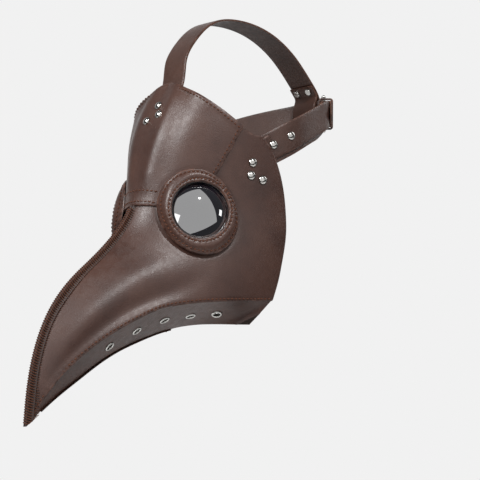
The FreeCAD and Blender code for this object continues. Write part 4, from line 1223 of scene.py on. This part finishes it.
EYELET = [(EYELET_BORE, -LEATHER - 0.9), (EYELET_BORE, 0.35), (3.22, 0.72), (3.48, 0.99),
          (3.85, 1.12), (4.25, 1.05), (4.6, 0.85), (4.87, 0.52), (5.0, 0.22), (4.95, 0.02),
          (4.6, -0.1), (EYELET_TUBE, 0.0), (EYELET_TUBE, -LEATHER - 0.9),
          (EYELET_BORE, -LEATHER - 0.9)]
eyelets = Build()
for at, n in vents:
    lathe(eyelets, EYELET, at, n, 36)
eyelets.pair("vent_eyelets_left_visual", [nickel], "nickel", "vent_eyelets_left")

# the carried-over metal and plastic keeps its shape and gets its finish here
for name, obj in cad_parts.items():
    if not obj.hide_render:
        new = holder_plastic if name.startswith("lens_holder") else nickel
        for k in range(len(obj.material_slots)):
            obj.material_slots[k].material = new

# -------- stage, light and camera
floor_mesh = bpy.data.meshes.new("floor")
floor_mesh.from_pydata([(-5.69, -6.99, -0.62), (6.35, 6.39, -0.62), (-0.33, 12.41, -0.62),
                        (-12.4, -0.97, -0.62)], [], [(0, 1, 2, 3)])
pale, tree, shader = nodes_of("pale_floor")
settle(shader, Base_Color=(0.78, 0.78, 0.78, 1), Roughness=0.9)
floor_mesh.materials.append(pale)
floor = bpy.data.objects.new("floor", floor_mesh)
bpy.context.scene.collection.objects.link(floor)


def direction(az, el):
    az, el = math.radians(az), math.radians(el)
    return np.array((math.cos(el) * math.sin(az), -math.cos(el) * math.cos(az), math.sin(el)))


def aim(obj, at, target, roll=0.0):
    """Points an object's -Z at a target, turned about its own axis by roll degrees."""
    z = unit(np.asarray(at, float) - np.asarray(target, float))
    x = unit(np.cross(np.array((0, 0, 1.0)), z))
    y = np.cross(z, x)
    c, s = math.cos(math.radians(roll)), math.sin(math.radians(roll))
    m = np.eye(4)
    m[:3, 0], m[:3, 1], m[:3, 2], m[:3, 3] = x * c + y * s, y * c - x * s, z, at
    obj.matrix_world = Matrix(m.tolist())


def softbox(name, az, el, distance, width, height, power, roll=0.0,
            target=(0.02, -0.09, -0.08)):
    light = bpy.data.lights.new(name, "AREA")
    light.shape, light.size, light.size_y, light.energy = "RECTANGLE", width, height, power
    obj = bpy.data.objects.new(name, light)
    bpy.context.scene.collection.objects.link(obj)
    aim(obj, np.asarray(target) + direction(az, el) * distance, target, roll)


# name, azimuth, elevation, distance, width, height, watts, roll
for lamp in (("panel", 60, 17, 0.95, 1.8, 1.75, 11, 28), ("key", 0, 36, 1.7, 0.7, 0.6, 37),
             ("crest", 78, 44, 1.6, 0.05, 0.05, 19),
             ("front_strip", 22, 0, 1.3, 0.3, 0.5, 1.4, -20),
             ("side_strip", 120, 14, 1.4, 0.14, 0.26, 0.5, -20),
             ("rear_edge", 165, 35, 1.9, 0.5, 1.3, 9)):
    softbox(*lamp)

# a dim studio in front of the mask and a pale backdrop behind it
world = bpy.data.worlds.new("studio")
bpy.context.scene.world = world
world.use_nodes = True
sky = world.node_tree
place = sky.nodes.new("ShaderNodeTexCoord")
dot = sky.nodes.new("ShaderNodeVectorMath")
dot.operation = "DOT_PRODUCT"
dot.inputs[1].default_value = direction(48, 10)
link(sky, place.outputs["Generated"], dot.inputs[0])
spread = maths(sky, "MULTIPLY_ADD", dot.outputs["Value"], 0.5)
spread.node.inputs[2].default_value = 0.5
shade = ramp(sky, spread, [(0.1, 0.88), (0.28, 0.36), (0.48, 0.09), (1.0, 0.04)])
link(sky, shade, sky.nodes["Background"].inputs["Color"])
sky.nodes["Background"].inputs["Strength"].default_value = 1.0

VIEW_AZ, VIEW_EL = 48, -7
camera_data = bpy.data.cameras.new("camera")
camera_data.lens, camera_data.sensor_width = 159.0, 36.0
camera = bpy.data.objects.new("camera", camera_data)
bpy.context.scene.collection.objects.link(camera)
back = direction(VIEW_AZ, VIEW_EL)
right_way = direction(VIEW_AZ + 90, 0)
eye = 2.0 * back + 0.0104 * right_way - 0.0896 * np.cross(back, right_way)
aim(camera, eye, eye - back)
bpy.context.scene.camera = camera
bpy.context.scene.view_settings.view_transform = "Standard"
